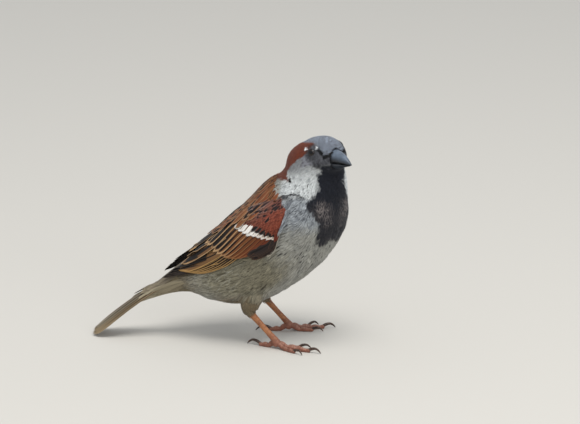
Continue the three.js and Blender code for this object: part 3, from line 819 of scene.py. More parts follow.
def land(s, angle, sign, ease):
    """Lays feathers on the surface. Behind the back they bridge the gap between the two wings."""
    points, normals = cast(s, angle, sign)
    if angle.max() > EDGE and s.min() < 0.47:
        (a, na), (b, nb) = cast(s, 0 * s + EDGE, sign), cast(s, 0 * s + EDGE, -sign)
        t = np.clip((angle - EDGE) / (180 - 2 * EDGE), 0, 1)[..., None]
        share = step(0.47, 0.41, s)[..., None] * (t > 0)
        up = unit(na * (1 - t) + nb * t)
        points = points * (1 - share) + (a * (1 - t) + b * t + up * 3.0 * t * (1 - t)) * share
        normals = unit(normals * (1 - share) + up * share)
    pace = np.diff(FIRM_RUNS)
    for k in range(2, len(FIRM_RUNS)):  # past the end of a wing a feather runs straight on
        before = (points[:, k - 1] - points[:, k - 2]) / pace[k - 2]
        after = np.linalg.norm(points[:, k] - points[:, k - 1], axis=1) / pace[k - 1]
        fell = (after > 1.7 * np.linalg.norm(before, axis=1))[:, None]
        points[:, k] = np.where(fell, points[:, k - 1] + before * pace[k - 1], points[:, k])
        normals[:, k] = np.where(fell, normals[:, k - 1], normals[:, k])
    for _ in range(3 if angle.max() > EDGE else ease):
        points[:, 1:-1] = 0.5 * points[:, 1:-1] + 0.25 * (points[:, :-2] + points[:, 2:])
    return points, normals


def blend(t, stops):
    """Numbers or colours blended evenly from the first stop, where t is 0, to the last, where it is 1."""
    rows = np.atleast_2d(np.array([rgb(stop) for stop in stops], float).T)
    return np.stack([np.interp(t, np.linspace(0, 1, len(stops)), row) for row in rows], 1).squeeze()


class Quills:
    """Gathers the vanes of one wing, the back or the tail, then makes them one mesh."""

    def __init__(self, sign):
        self.sign = sign
        self.sets = []

    def lay(self, path, up, way, half, lift, base, edge, edge_width, core=BLACK, core_width=0.3,
            shape=ROUND_SHAPE, rounding=0.5, fray=0.1, roll=7.0, rise=0.25):
        n = len(path)
        lean = math.radians(roll)
        up = up * math.cos(lean) + self.sign * np.cross(up, way) * math.sin(lean)
        lift = np.broadcast_to(np.reshape(lift, (-1, 1)), (n, 1)) + rise * (FIRM_RUNS[None] - 0.6)
        half = np.broadcast_to(half, n).astype(float)
        made = vanes(path, up, way, half, lift, FIRM_RUNS, 8, shape, rounding, camber=0.12, fray=fray,
                     seeds=rng.random(n))
        colours = [with_alpha(0.9 * np.broadcast_to(rgb(tone), (n, 3)) * jitter(n, 0.06)[:, None], width)
                   for tone, width in ((base, 1), (edge, edge_width), (core, core_width))]
        self.sets.append((made, colours))

    def add(self, roots, tips, half, lift, bow=0.0, ease=1, **look):
        """Vanes from roots to tips, each a row of (place along the spine, angle round it)."""
        run = FIRM_RUNS[None, :, None]
        flat = roots[:, None] * (1 - run) + tips[:, None] * run
        flat[..., 1] += np.reshape(bow, (-1, 1)) * (4 * run * (1 - run))[..., 0]
        points, normals = land(flat[..., 0], flat[..., 1], self.sign, ease)
        way = unit(np.gradient(points, axis=1))
        up = squared(unit(0.55 * unit(normals.mean(1, keepdims=True)) + 0.45 * normals), way)
        self.lay(points, up, way, half, lift, **look)

    def fan(self, roots, tips, count, **look):
        """Vanes spread between a line of roots and a line of tips. Values in brackets are blended
        evenly from the first vane to the last, and so are colours."""
        t = np.linspace(0, 1, count)
        look = {name: blend(t, value) if isinstance(value, tuple) else value for name, value in look.items()}
        self.add(smooth_line(roots, t), smooth_line(tips, t), **look)

    def finish(self, name, slot):
        made = [vanes_made for vanes_made, _ in self.sets]
        starts = np.cumsum([0] + [len(m[0]) for m in made])
        points, blades = (np.concatenate([m[i] for m in made]) for i in (0, 3))
        quads, ends = (np.concatenate([m[i] + start for m, start in zip(made, starts)]) for i in (1, 2))
        each = made[0][4]
        colours = [np.concatenate(layer) for layer in zip(*(colours for _, colours in self.sets))]
        patch = np.arange(len(points) // each)
        across = math.ceil(math.sqrt(len(patch)))  # patches of the map side by side
        centre = (np.stack([patch % across, patch // across], 1) + 0.5) / across
        made = points, quads, ends, blades, each
        return feather_piece(name, made, colours, (centre, 0.9 / across), firm_plumage)


LESSER_LOW = np.array([(0.604, -3), (0.582, 9), (0.565, 21), (0.548, 32), (0.530, 41), (0.508, 48)])
LESSER_HIGH = np.array([(0.662, -3), (0.664, 7), (0.650, 18), (0.628, 33), (0.598, 45), (0.568, 53)])
LESSER_FRONT = ([-5, 0, 12, 30, 50], [0.655, 0.685, 0.700, 0.695, 0.670])  # angle, along the spine
LESSER_TONES = ("743423", "703527", "693e2e")
WING_FRONT = [(0.636, -7), (0.662, -7), (0.683, -3), (0.693, 6), (0.693, 16), (0.684, 23)]
SIDE_LINE = [(0.660, -12), (0.684, -10), (0.708, -6), (0.722, 3), (0.725, 12), (0.720, 19), (0.712, 24)]
for side, sign in (("right", -1), ("left", 1)):
    q = Quills(sign)
    q.fan([(0.36, 22), (0.37, 34), (0.38, 46)], [(0.132, 44), (0.165, 50), (0.205, 58)], 7,  # wing tip
          half=1.6, lift=(-0.5, 0.5), shape=POINTED_SHAPE, base="181311", edge="40362d", edge_width=0.08,
          core_width=0.4)
    q.fan([(0.50, 19), (0.48, 25), (0.46, 32), (0.44, 38)],  # secondaries
          [(0.280, 25), (0.250, 28), (0.230, 32), (0.220, 37)], 8, half=1.6, lift=(0.0, 0.1), bow=(-1, 1),
          shape=POINTED_SHAPE, base="261c15", edge=GOLD, edge_width=(0.2, 0.18), core_width=0.6)
    q.fan([(0.47, 34), (0.48, 48), (0.49, 62), (0.49, 78)],  # tertials
          [(0.224, 37), (0.240, 52), (0.272, 66), (0.312, 82)], 4, half=(2.9, 2.7),
          lift=(0.15, 0.5 - 0.2 * sign), bow=(3, 1), base=("765636", "6d4d2f", "3a2a1e", "3a2a1e"),
          edge=(GOLD, BUFF, BUFF, "8f7350"),
          edge_width=0.14, core_width=(0.22, 0.5, 0.75, 0.75), roll=5)
    q.fan([(0.615, -9), (0.60, 0)], [(0.500, 5), (0.503, 13)], 5,  # primary coverts
          half=1.5, lift=(0.0, 0.2), base="2b2220", edge="4d372b", edge_width=0.1)
    q.fan([(0.625, -11), (0.615, -6)], [(0.532, -5), (0.548, -1)], 2,  # alula
          half=1.3, lift=(-0.1, 0.1), base="28211f", edge=("b5ad9e", "4d372b"), edge_width=0.16)
    q.fan([(0.60, 5), (0.575, 15), (0.56, 24), (0.55, 36), (0.545, 50), (0.54, 64)],  # greater coverts
          [(0.496, 14), (0.472, 18), (0.450, 25), (0.428, 34), (0.404, 46), (0.378, 63)], 12,
          half=(1.4, 1.6, 2.2), lift=(-0.1, 0.45), bow=(-1, 2), base=("64291a", "6b3a1e", "7a4f2c", "6f4a2b"),
          edge=("79412a", "94643a", BUFF, BUFF), edge_width=(0.12, 0.16, 0.22, 0.26),
          core_width=(0.0, 0.08, 0.2, 0.3, 0.82, 0.85))
    q.fan([(0.635, 0), (0.615, 16), (0.598, 28), (0.585, 38), (0.57, 50)],  # the white bar
          [(0.585, 2), (0.565, 12), (0.545, 23), (0.528, 33), (0.511, 46)], 10, half=(1.4, 1.9, 2.5),
          lift=(0.0, 0.3), shape=BLUNT_SHAPE, base=("bda692", "dccfc2", "e9e5de", "e9e5de"),
          edge=("d8c8b8", "e8e0d8", "efece6", "efece6"), edge_width=0.2, core="a8998b",
          core_width=(0.3, 0.15), fray=0.4)
    q.fan([(0.645, -2), (0.625, 14), (0.608, 24), (0.597, 31)],  # dark roots of the bar
          [(0.599, -1), (0.578, 10), (0.562, 20), (0.549, 29)], 7, half=(1.35, 1.6, 1.3), lift=(0.1, 0.3),
          shape=BLUNT_SHAPE, base="1c1614", edge=("2a1d19", "241c19", "6b6460"), edge_width=0.15,
          rounding=0.6, fray=0.5)
    for row in range(10):  # lesser coverts, from the bar forwards
        share, count = row / 9, 17
        where = np.linspace(0, 1, count)
        line = LESSER_LOW * (1 - share) + LESSER_HIGH * share
        tip = smooth_line(line, (np.arange(count) + 0.25 + 0.5 * (row % 2)) / count)
        tip = tip + rng.normal(size=(count, 2)) * (0.003, 0.9)
        often = np.interp(where, [0, 0.3, 0.5, 1], [0.0, 0.08, 0.4, 0.8]) * (0.35 + 0.65 * share)
        dark = (rng.random(count) < often)[:, None]
        grey = np.clip(where - 0.45, 0, 1) * share
        # Brighter in the middle rows of the patch: partly its own warmer colour, partly a painted highlight.
        bright = 1 + 0.22 * np.sin(math.pi * share) * np.interp(where, [0, 0.35, 0.8], [0.3, 1, 0])
        base = blend(where, LESSER_TONES)
        base = mix(base, ("70625c", grey)) * (bright * jitter(count, 0.15))[:, None]
        worn = np.where(dark, rgb("9a9896"), rgb("877467"))
        start = tip + np.array([0.048, -1.0])
        start[:, 0] = np.minimum(start[:, 0], np.interp(start[:, 1], *LESSER_FRONT))
        tip[:, 0] = np.minimum(tip[:, 0], start[:, 0] - 0.03)
        q.add(start, tip, 1.0, 0.25 + 0.035 * row, base=base, edge_width=0.18,
              edge=mix(base * 1.2, ("9a6048", 0.5 * rng.random(count)), (worn, grey * 1.3)),
              core=np.where(dark, rgb("1a1618"), base * 0.6), core_width=np.where(dark[:, 0], 0.62, 0.25),
              rounding=0.9, fray=0.7, roll=3, rise=0.12)
    for row, inset in enumerate((0.020, 0.012, 0.004, -0.004)):  # small feathers of the wing's front
        count = 15 - row
        start = smooth_line(WING_FRONT, (np.arange(count) + 0.5) / count) - (inset, 0)
        start = start + rng.normal(size=(count, 2)) * (0.003, 0.8)
        base = rgb("6d2f20") * jitter(count, 0.15)[:, None]
        q.add(start, start + np.array([-0.031, 3.0]), 0.85, 0.40 + 0.04 * row, base=base,
              edge=mix(base * 1.1, ("8f5540", 0.4 * rng.random(count))), edge_width=0.18, core=base * 0.55,
              rounding=0.9, fray=0.9, roll=0)
    for row in range(4):  # grey feathers of the breast's side, which lap over the wing's front
        count = 30
        start = smooth_line(SIDE_LINE, (np.arange(count) + 0.2 + 0.25 * row) / count)
        start = start + (0.010 - 0.004 * row, 0) + rng.normal(size=(count, 2)) * (0.006, 0.8)
        tip = start + np.array([-0.040, 2.0]) * jitter(count, 0.2)[:, None]
        tip = tip + rng.normal(size=(count, 2)) * (0, 0.9)
        base, edge, core = contour_colours(cast(start[:, 0] - 0.01, start[:, 1] - 5, sign)[0])
        bright = jitter(count, 0.2)[:, None]
        q.add(start, tip, 0.5, 0.5, ease=8, base=base[:, :3] * bright, edge=edge[:, :3] * bright,
              edge_width=edge[:, 3], core=core[:, :3] * 0.7, core_width=core[:, 3] + 0.12,
              rounding=0.8, fray=1.8, roll=0, rise=1.5)
    q.finish("wing_feathers_" + side, "wing_feathers")

# ---------------------------------------------------------------- back
# Mantle and shoulder feathers: chestnut with buff edges and a black streak each, in files from
# the nape back. The outer files lie over the inner edge of the wing.
LOWEST = ([0.37, 0.40, 0.43, 0.46, 0.49, 0.517, 0.544, 0.578, 0.628, 0.656, 0.70, 0.74],
          [90, 82, 74, 66, 51, 41.5, 40, 42, 40, 36, 18, 13])  # angle of the outermost tips along the spine
FOREMOST = ([15, 46, 60, 75, 90], [0.665, 0.635, 0.65, 0.68, 0.70])  # angle, along the spine
for side, sign in (("right", -1), ("left", 1)):
    q = Quills(sign)
    for file, angle in enumerate(np.linspace(15, 88, 15)):
        along = np.arange(np.interp(angle, *FOREMOST), 0.37, -0.0235) + 0.010 * (file % 2)
        n = len(along)
        tips = np.stack([along + rng.normal(size=n) * 0.003, angle + rng.normal(size=n) * 0.9], 1)
        tips = tips[tips[:, 1] > np.interp(tips[:, 0], *LOWEST)]
        n = len(tips)
        if n == 0:
            continue
        front = np.clip((tips[:, 0] - 0.56) / 0.08, 0, 1)
        roots = tips + np.stack([0.082 - 0.027 * front, np.where(tips[:, 1] < 60, 3.0, 0.0)], 1)
        streaked = (file % 2 == 0) & (rng.random(n) < 0.92) | (rng.random(n) < 0.15 + 0.45 * front)
        base = np.where(rng.random((n, 1)) < 0.6, rgb("80482b"), rgb("875a39"))
        grey = np.clip((0.66 - tips[:, 0]) / 0.1, 0, 1) * 0.25
        lift = 0.5 + 0.03 * file - np.array([1.0, 0.5, 0.2] + [0] * n)[:n] + 0.3 * (0.7 - tips[:, 0])
        q.add(roots, tips, np.where(streaked, 1.45, 1.6) - 0.3 * front, lift, base=base,
              edge=mix(mixed(n, "ab7f56", "935f3a"), ("9b8f80", grey)),
              edge_width=np.where(streaked, 0.2, 0.14),
              core=np.where(streaked[:, None], rgb(BLACK), rgb("6b3d22")),
              core_width=np.where(streaked, 0.72, 0.2), fray=0.22, roll=5)
    q.finish("mantle_" + side, "plumage")

# ---------------------------------------------------------------- coat pieces
# The small feathers in five joined meshes: head, neck, breast, belly with flanks, and rump.
SMALL = 3, np.array([0, 0.45, 0.75, 1.0]), np.array([0.7, 1.0, 0.9, 0.7]), 7  # cells, runs, shape, wildness
SOFT_RUNS, SOFT_SHAPE = np.array([0, 0.3, 0.55, 0.78, 1.0]), np.array([0.5, 0.9, 1.0, 0.85, 0.75])
LARGE = 5, SOFT_RUNS, SOFT_SHAPE, 9


def hidden(points, normals):
    """Roots that a wing covers."""
    rays = [(Vector(p) + 0.1 * Vector(n), Vector(n)) for p, n in zip(points.tolist(), normals.tolist())]
    return np.array([any(tree.ray_cast(*ray, 9)[0] is not None for tree in wing_trees) for ray in rays])


q = zones(root)
x, y, _ = q.p.T
beside_wing = (x > 4) & (np.abs(y) > 9)
skip = hidden(root - lie(root) * (4.5 * beside_wing)[:, None], root_up) | ((q.back > 0.6) & (q.s < 0.69))
skip |= x < -54  # the tail coverts see to the rest
on_body = q.h[:, 2] <= -9.5
for name, wanted, kind in (
        ("coat_head", ~on_body, SMALL), ("coat_neck", on_body & (q.s > 0.62), LARGE),
        ("coat_breast", on_body & (q.s <= 0.62) & (q.s > 0.5), LARGE),
        ("coat_belly", (q.s <= 0.5) & (q.s > 0.36), LARGE), ("coat_rump", q.s <= 0.36, LARGE)):
    use = wanted & ~skip
    skip |= use
    contour_coat(name, root[use], root_up[use], root_map[use], *kind)

# ---------------------------------------------------------------- tail
# Twelve tail feathers in pairs, the middle pair on top, drooping to the ground.
TAIL_LINE = [(-36, 0, 29.4), (-51, 0, 24.6), (-66, 0, 14.8), (-83.2, 0, 0.7)]
TAIL_PAIRS = [("6d604d", 0.2), ("281e15", 0.06), ("68573f", 0.2), ("3b2e22", 0.06), ("6c5a42", 0.2),
              ("443627", 0.14)]  # colour and width of the edge, from the middle pair outwards
TAIL_SHAPE = np.array([0.5, 0.6, 0.7, 0.77, 0.85, 0.91, 0.96, 0.93, 0.82, 0.62, 0.25])
tail = Quills(-1)
for pair, (tone, rim) in list(enumerate(TAIL_PAIRS))[::-1]:
    for sign in (1, -1):
        out = pair / 5
        run = FIRM_RUNS * (1 - 0.045 * (1 - out) ** 1.5 - 0.03 * out**3)
        ahead = unit(smooth_line(TAIL_LINE, run + 0.01) - smooth_line(TAIL_LINE, run - 0.01))
        up = np.stack([ahead[:, 2], 0 * run, -ahead[:, 0]], 1)
        places = smooth_line(TAIL_LINE, run) + up * (0.25 - 0.32 * pair + 0.02 * sign)
        places[:, 1] += sign * (0.4 + pair * 0.75 * (0.35 + 0.65 * FIRM_RUNS))
        places[:, 2] = np.maximum(places[:, 2], 0.35)
        path = bent(places)[None]
        lean = bent(places + unit(up + np.array([0, sign * 0.12, 0])))[None]
        tail.lay(path, unit(lean - path), unit(np.gradient(path, axis=1)), 3.1, 0.0, tone,
                 "8f7d61" if pair else "948a77", rim, "261d15", 0.12, TAIL_SHAPE, rounding=0.2, fray=0.05,
                 roll=0, rise=0)
tail_piece = tail.finish("tail_feathers", "tail_feathers")
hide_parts("tail")

# ---------------------------------------------------------------- tail coverts
# Long soft feathers over and under the root of the tail, buff below and grey-brown above.
ROOT_LINE = [(-33, 0, 28.0), (-42, 0, 26.2), (-51, 0, 22.3), (-60, 0, 18.0), (-69, 0, 13.0)]
ROOT_SIZES = [(12.5, 11.0), (8.0, 6.4), (4.8, 3.8), (3.5, 2.6), (3.7, 2.0)]  # half width and half height
NARROW_ROOT = ROUND_SHAPE * np.interp(FIRM_RUNS, [0, 0.45], [0.1, 1])
coverts = Quills(-1)
for facing, reach, count, tone, rim, first, pitch in (
        (-1, 92, 14, "958c76", "b4aa92", 0.36, 0.065), (1, 48, 8, "7d7260", "948972", 0.26, 0.05)):
    for row in range(6):
        round_it = np.linspace(-reach, reach, count) + (row % 2) * 7 + rng.normal(size=count) * 3
        round_it = np.radians(round_it)[:, None]
        run = first - pitch * row + rng.normal(size=(count, 1)) * 0.03
        run = np.maximum(run + 0.48 * FIRM_RUNS * jitter(count, 0.07)[:, None], 0.03 * FIRM_RUNS)
        wide, tall = np.moveaxis(smooth_line(ROOT_SIZES, run), -1, 0)
        places = smooth_line(ROOT_LINE, run)
        places[..., 1] += wide * np.sin(round_it)
        places[..., 2] += facing * tall * np.cos(round_it)
        lean = np.stack([0 * run, np.sin(round_it) / wide, facing * np.cos(round_it) / tall], -1)
        path = bent(places)
        touching = np.array([[body_tree.find_nearest(Vector(p))[0] for p in line] for line in path.tolist()])
        path = touching + (path - touching) * step(-52, -58, places[..., :1])
        way = unit(np.gradient(path, axis=1))
        up = squared(unit(lean), way)
        sunk = step(0.3 + 0.35 * rng.random((count, 1)), 0.0, FIRM_RUNS)  # the roots sink into the coat
        path = path - up * (sunk * (0.7 + 0.7 * step(-56, -48, places[:, :1, 0])))[..., None]
        near_coat = step(-60, -42, places[:, 5, 0]) * 0.9
        # Near the coat the coverts take the body's colour. It is darkened, partly for the coat's darker feather
        # cores and partly as painted shade for the self-shadow among its soft feathers.
        shaded_body_tone = paint(zones(path[:, 5])) * 0.84
        base = mix(mixed(count, tone, rgb(tone) * 1.3), (shaded_body_tone, near_coat))
        coverts.lay(path, up, way, 1.0 + 0.1 * row, 0.08 * row, base, mix(rim, (shaded_body_tone * 1.12, near_coat)),
                    edge_width=0.2, core=base * 0.75, core_width=0.2, shape=NARROW_ROOT, rounding=0.9, fray=0.9,
                    roll=0, rise=0.3)
coverts.finish("tail_coverts", "plumage")

# ---------------------------------------------------------------- eyes
# Dark brown, wet eyeballs, each held by a thin ring of grey lid skin.
EYE_RADIUS = 2.42
OPENING = 39  # half angle of the lids' opening, in degrees
LID_RINGS = (  # how far outside the opening, in degrees, and the radius there
    (-2, 2.46), (-1, 2.57), (2, 2.65), (5, 2.66), (9, 2.6), (15, 2.48), (23, 2.3), (34, 2.0))
UPWARD = np.array([0, 0, 1.0])


def polished(name, roughness, coat=0.0):
    values = {"Roughness": roughness, "Coat Weight": coat, "Coat Roughness": 0.04, "IOR": 1.42}
    return new_finish(name, values)


eye_finish, t, surface = polished("eye", roughness=0.06)
iris = attribute(t, "iris", "Fac")
brown = blended(noise(place_on(t), scale=2600.0, detail=2.0), (0.005, 0.003, 0.002), (0.016, 0.007, 0.004))
inside = blended(ramped(iris, 0.40, 0.48), (0.002, 0.002, 0.003), brown)
show(surface, "Base Color", blended(ramped(iris, 0.78, 0.88), inside, (0.004, 0.003, 0.003)))

lid_finish, t, surface = polished("eyelid skin", roughness=0.6)
folds = noise(place_on(t), scale=3200.0, detail=3.0)
show(surface, "Base Color", blended(ramped(folds, 0.35, 0.7), "17171a", "3d3d42"))
relief(surface, folds, strength=0.5, distance=0.0001)


def bare_tube(name, rings, closed_ends=True):
    """A mesh over rings of points, its ends closed to a middle point."""
    rings = np.asarray(rings)
    count, sides = rings.shape[:2]
    points = rings.reshape(-1, 3)
    i, k = (v.ravel() for v in np.mgrid[:count - 1, :sides])
    a, b = i * sides + k, i * sides + (k + 1) % sides
    faces = np.stack([a, b, b + sides, a + sides], 1).tolist()
    if closed_ends:
        first, end = len(points), (count - 1) * sides
        points = np.concatenate([points, rings[[0, -1]].mean(1)])
        faces += [[first, (j + 1) % sides, j] for j in range(sides)]
        faces += [[first + 1, end + j, end + (j + 1) % sides] for j in range(sides)]
    mesh = bpy.data.meshes.new(name)
    mesh.from_pydata((points * MM).tolist(), [], faces)
    thing = shown(name, mesh)
    edit(thing, lambda: bpy.ops.mesh.normals_make_consistent(inside=False))
    bpy.ops.object.shade_smooth()
    return thing


def tube(name, rings, material, closed_ends=True):
    thing = bare_tube(name, rings, closed_ends)
    thing.data.materials.append(material)
    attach(thing, "root")
    return thing


tilt = np.radians(np.linspace(2, 178, 40))
turn = np.radians(np.arange(0, 360, 7.5))
for side, s in (("left", 1), ("right", -1)):
    axis, centre = eye_axes[s], eye_middles[s]
    up = squared(UPWARD, axis)
    circle = np.cos(turn)[:, None] * up + np.sin(turn)[:, None] * np.cross(axis, up)
    direction = np.sin(tilt)[:, None, None] * circle + np.cos(tilt)[:, None, None] * axis
    cornea = 0.12 * step(0.75, 1.0, np.cos(tilt))[:, None, None]
    ball = tube("eyeball_" + side, centre + direction * (EYE_RADIUS + cornea), eye_finish)
    spread = np.append(np.repeat(np.sin(tilt) + 2 * (tilt > 1.6), len(turn)), [0, 3])
    layer = ball.data.attributes.new("iris", "FLOAT", "POINT")
    layer.data.foreach_set("value", (spread / math.sin(math.radians(OPENING + 8))).astype(np.float32))
    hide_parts("eye_" + side)
    rings = []
    for opened, radius in LID_RINGS:
        wink = np.radians(OPENING + opened - 3.0 * np.cos(turn) ** 2)[:, None]
        beads = 0.012 * np.sin(turn * 15)[:, None] * (radius > 2.6)
        rings.append(centre + (np.sin(wink) * circle + np.cos(wink) * axis) * (radius + beads))
    tube("eyelids_" + side, rings, lid_finish, closed_ends=False)

# ---------------------------------------------------------------- bill
# Horn: a stout, slate-coloured seed-eater's bill, the upper half with a soft ridge and a nostril.
BILL_BASE, BILL_TIP, BILL_HALF = 8.6, 22.0, 3.9
GAPE = math.tan(math.radians(1.8))  # the halves stand a little apart
NOSTRIL = (10.9, 1.5)  # ahead, height

bill_finish, t, surface = polished("bill horn", roughness=0.34, coat=0.25)
tone, place = attribute(t, "base"), place_on(t)
grain = noise(place, scale=700.0, detail=4.0, roughness=0.6)
patchy = noise(place, scale=260.0, detail=2.0)
show(surface, "Base Color", scaled(tone, ramped(grain + patchy, 0.7, 1.3, 0.7, 1.3, "LINEAR")))
relief(surface, grain, strength=0.25, distance=0.0002)
show(surface, "Roughness", ramped(patchy, 0.3, 0.7, 0.28, 0.48, "LINEAR"))


def bill_form(run):
    """The bill's half width, mouth line, height over the mouth and depth under it, along its run."""
    mouth = -2.0 - 0.8 * run
    run = np.maximum(run, 0)
    return 0.3 + (BILL_HALF - 0.3) * (1 - run**1.5), mouth, 3.3 - 5.7 * run**2.2, 5.3 - 3.0 * run**1.5


def bill_rings(upper, slices=36, sides=40):
    end = BILL_TIP if upper else BILL_TIP - 1.7
    flip = 1 if upper else -1
    a = np.linspace(0, 2 * math.pi, sides, endpoint=False)
    arch = np.maximum(np.sin(a), 0) ** (0.85 if upper else 0.8)
    rings = []
    for f in BILL_BASE + (end - BILL_BASE) * np.linspace(0, 1, slices) ** 0.85:
        run = (f - BILL_BASE) / (BILL_TIP - BILL_BASE)
        half, mouth, top, bottom = bill_form(run)
        drop = 0 if upper else GAPE * (f - BILL_BASE)
        edge = mouth + 0.5 * math.sin(math.pi * run) + 0.1 * flip - drop
        tall = max(top - edge if upper else edge + drop + bottom, 0.35)
        half = max(half * (1 if upper else 0.9), 0.28)
        hollow = 1 - 0.05 * np.exp(-distance_from(arch, 0.75, 0.2)) * (1 - run)
        l, u = half * np.cos(a) * hollow, edge + flip * tall * arch
        u = np.where(np.sin(a) < -0.01, u + 0.35 * flip * np.abs(np.sin(a)) * min(1, 4 * (1 - run)), u)
        if upper:
            pit = np.exp(-distance_from(f, NOSTRIL[0], 0.55) - distance_from(u, NOSTRIL[1], 0.35))
            pit = pit * (np.abs(l) > 1)
            l = l * (1 - 0.2 * pit)
        rings.append(np.stack([np.full(sides, f), l, u], 1))
    return np.array(rings)


for name, upper in (("bill_top", True), ("bill_bottom", False)):
    rings = bill_rings(upper)
    horn = tube(name, in_head(rings), bill_finish)
    ahead, _, height = np.concatenate([rings.reshape(-1, 3), rings[[0, -1]].mean(1)]).T
    # Painted highlight, partly: the upper bill is painted paler blue-grey towards its ridge, partly its own
    # colour and partly a painted highlight. The lower bill is a little paler underneath.
    pale = step(-0.8, 2.4, height + 0.25 * (ahead - 12)) if upper else step(-1.0, -4.5, height) * 0.2
    # Painted shade: the nostril pit is painted near black.
    pit = np.exp(-distance_from(ahead, NOSTRIL[0], 0.5) - distance_from(height, NOSTRIL[1], 0.35)) * upper
    # Painted shade: the bill is painted darker near its base, where the bristles and feathers shade it.
    rooted = 0.75 * step(2.6, 0.6, ahead - BILL_BASE + 0.35 * (height - 1))
    paint_mesh(horn, "base", with_alpha(mix("14161b", ("5c6877", pale), ("1a1d22", rooted), ("0c0c0f", pit))))
    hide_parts("bill_upper" if upper else "bill_lower")

# ---------------------------------------------------------------- bristles
# Short, stiff black feathers that lie forwards over the bill's base and its nostrils.
root_tree = near_tree(root)


def nearest_patches(path):
    """The patch of the coat feather nearest to each root."""
    return np.array([root_map[root_tree.find(Vector(p))[1]] for p in path[:, 0].tolist()]), PATCH


count = 420
start = 8.3 + 1.6 * rng.random(count)[:, None]
round_it = np.radians(rng.random(count) * 360)[:, None]
cos, sin = np.cos(round_it), np.sin(round_it)
reach = (1.5 + 0.9 * (cos**2 > 0.2) * (sin > 0)) * SOFT_RUNS[None]
ahead = start + reach * (0.7 + 0.6 * rng.random((count, 1)))
half, mouth, top, bottom = bill_form((ahead - BILL_BASE) / (BILL_TIP - BILL_BASE))
tall = np.where(sin > -0.1, top - mouth, mouth + bottom)
path = in_head(np.stack([ahead, half * cos, mouth + tall * np.sign(sin) * np.abs(sin) ** 0.85], -1))
out = unit(np.stack([0.25 + 0 * ahead, cos / half, sin / tall], -1)) @ head_matrix.T
way = unit(np.gradient(path, axis=1))
lift = 0.08 + 0.30 * rng.random((count, 1)) + 0 * SOFT_RUNS
made = vanes(path, squared(out, way), way, 0.22 * jitter(count, 0.2), lift, SOFT_RUNS, 3, SOFT_SHAPE,
             rounding=0.6, camber=0.2, fray=0.4, seeds=rng.random(count))
tone = rgb("1b1c20") * jitter(count, 0.25)[:, None]
colours = [with_alpha(tone * light, width) for light, width in ((1, 1), (2.2, 0.15), (0.6, 0.2))]
feather_piece("bristles", made, colours, nearest_patches(path), soft_plumage)

# ---------------------------------------------------------------- legs and claws
# Bare shanks and toes in scaly brown skin, plates down the front and over each toe; horn claws.
LEGS = {"left": (1, (0.9, 13.8), 25, 166), "right": (-1, (1.2, -13.6), 12, 186)}  # foot, turns of the toes
TOES = {  # turn from the foot's line, length, claw, pads, half thickness
    "middle": (0, 16.2, 4.8, 3, 1.12), "inner": (-20, 11.0, 4.2, 2, 1.02),
    "outer": (21, 11.6, 4.2, 3, 1.0), "hind": (None, 8.6, 5.8, 2, 1.15),
}
PALM_HEIGHT = 3.2
SHANK_TALL, SHANK_WIDE = [1.9, 1.75, 1.65, 1.4, 1.2, 1.35, 1.5], [1.6, 1.5, 1.4, 1.1, 0.98, 1.2, 1.5]
PALM = ((-1.9, 2.6), (-1.2, 2.6), (0, 2.55), (1.2, 2.5), (1.9, 2.4))  # ahead of the foot's middle, height
CLAW_SIZES = np.array([0.62, 0.6, 0.46, 0.32, 0.13])
FLOOR_GAP = 0.02
FORWARD = np.array([1.0, 0, 0])

leg_finish, t, surface = polished("leg skin", roughness=0.5, coat=0.05)
tone, place = attribute(t, "base"), place_on(t)
pores = add(t, "TexVoronoi", {"Vector": place, "Scale": 2600.0})
mottle = noise(place, scale=500.0, detail=3.0)
show(surface, "Base Color", scaled(tone, ramped(mottle, 0.3, 0.7, 0.78, 1.22, "LINEAR")))
relief(surface, pores, strength=0.35, distance=0.0001)
claw_finish, t, surface = polished("claw horn", roughness=0.35, coat=0.1)
grain = noise(place_on(t), scale=1500.0, detail=2.0)
show(surface, "Base Color", blended(ramped(grain, 0.35, 0.7), "2c1f1a", "5a4436"))
relief(surface, grain, strength=0.2, distance=0.0001)


def limb(name, line, tall, wide, facing, slices, rounded=0.0):
    """A tube along a smooth line, with half sizes tall and wide, its far end rounded over a length."""
    t = np.linspace(0, 1, slices)
    centre = smooth_line(line, t)
    ahead = unit(np.gradient(centre, axis=0))
    over = unit(facing - ahead * (ahead @ facing)[:, None])
    half = smooth_line(np.stack([tall, wide], 1), t)
    if rounded:
        left = np.clip(np.linalg.norm(centre - centre[-1], axis=1) / rounded, 0.03, 1)
        half = half * np.sqrt(left * (2 - left))[:, None]
    a = np.linspace(0, 2 * math.pi, 28, endpoint=False)[:, None]
    ring = np.cross(over, ahead)[:, None] * np.cos(a) * half[:, None, 1:]
    return bare_tube(name, origin + centre[:, None] + (ring + over[:, None] * np.sin(a) * half[:, None, :1]))


def plates(run, pitch):
    """Overlapping scale plates along a limb: how far each place stands out, and how deep in a groove."""
    t = run / pitch % 1
    return np.where(t < 0.8, 0.4 + 0.75 * t, (1 - t) / 0.2), np.exp(-(((t + 0.5) % 1 - 0.5) / 0.09) ** 2)


def grounded(thing, shape):
    """Puts points back with none of them in the floor."""
    shape[:, 2] = np.maximum(shape[:, 2], FLOOR_GAP)
    put_vertices(thing, shape)


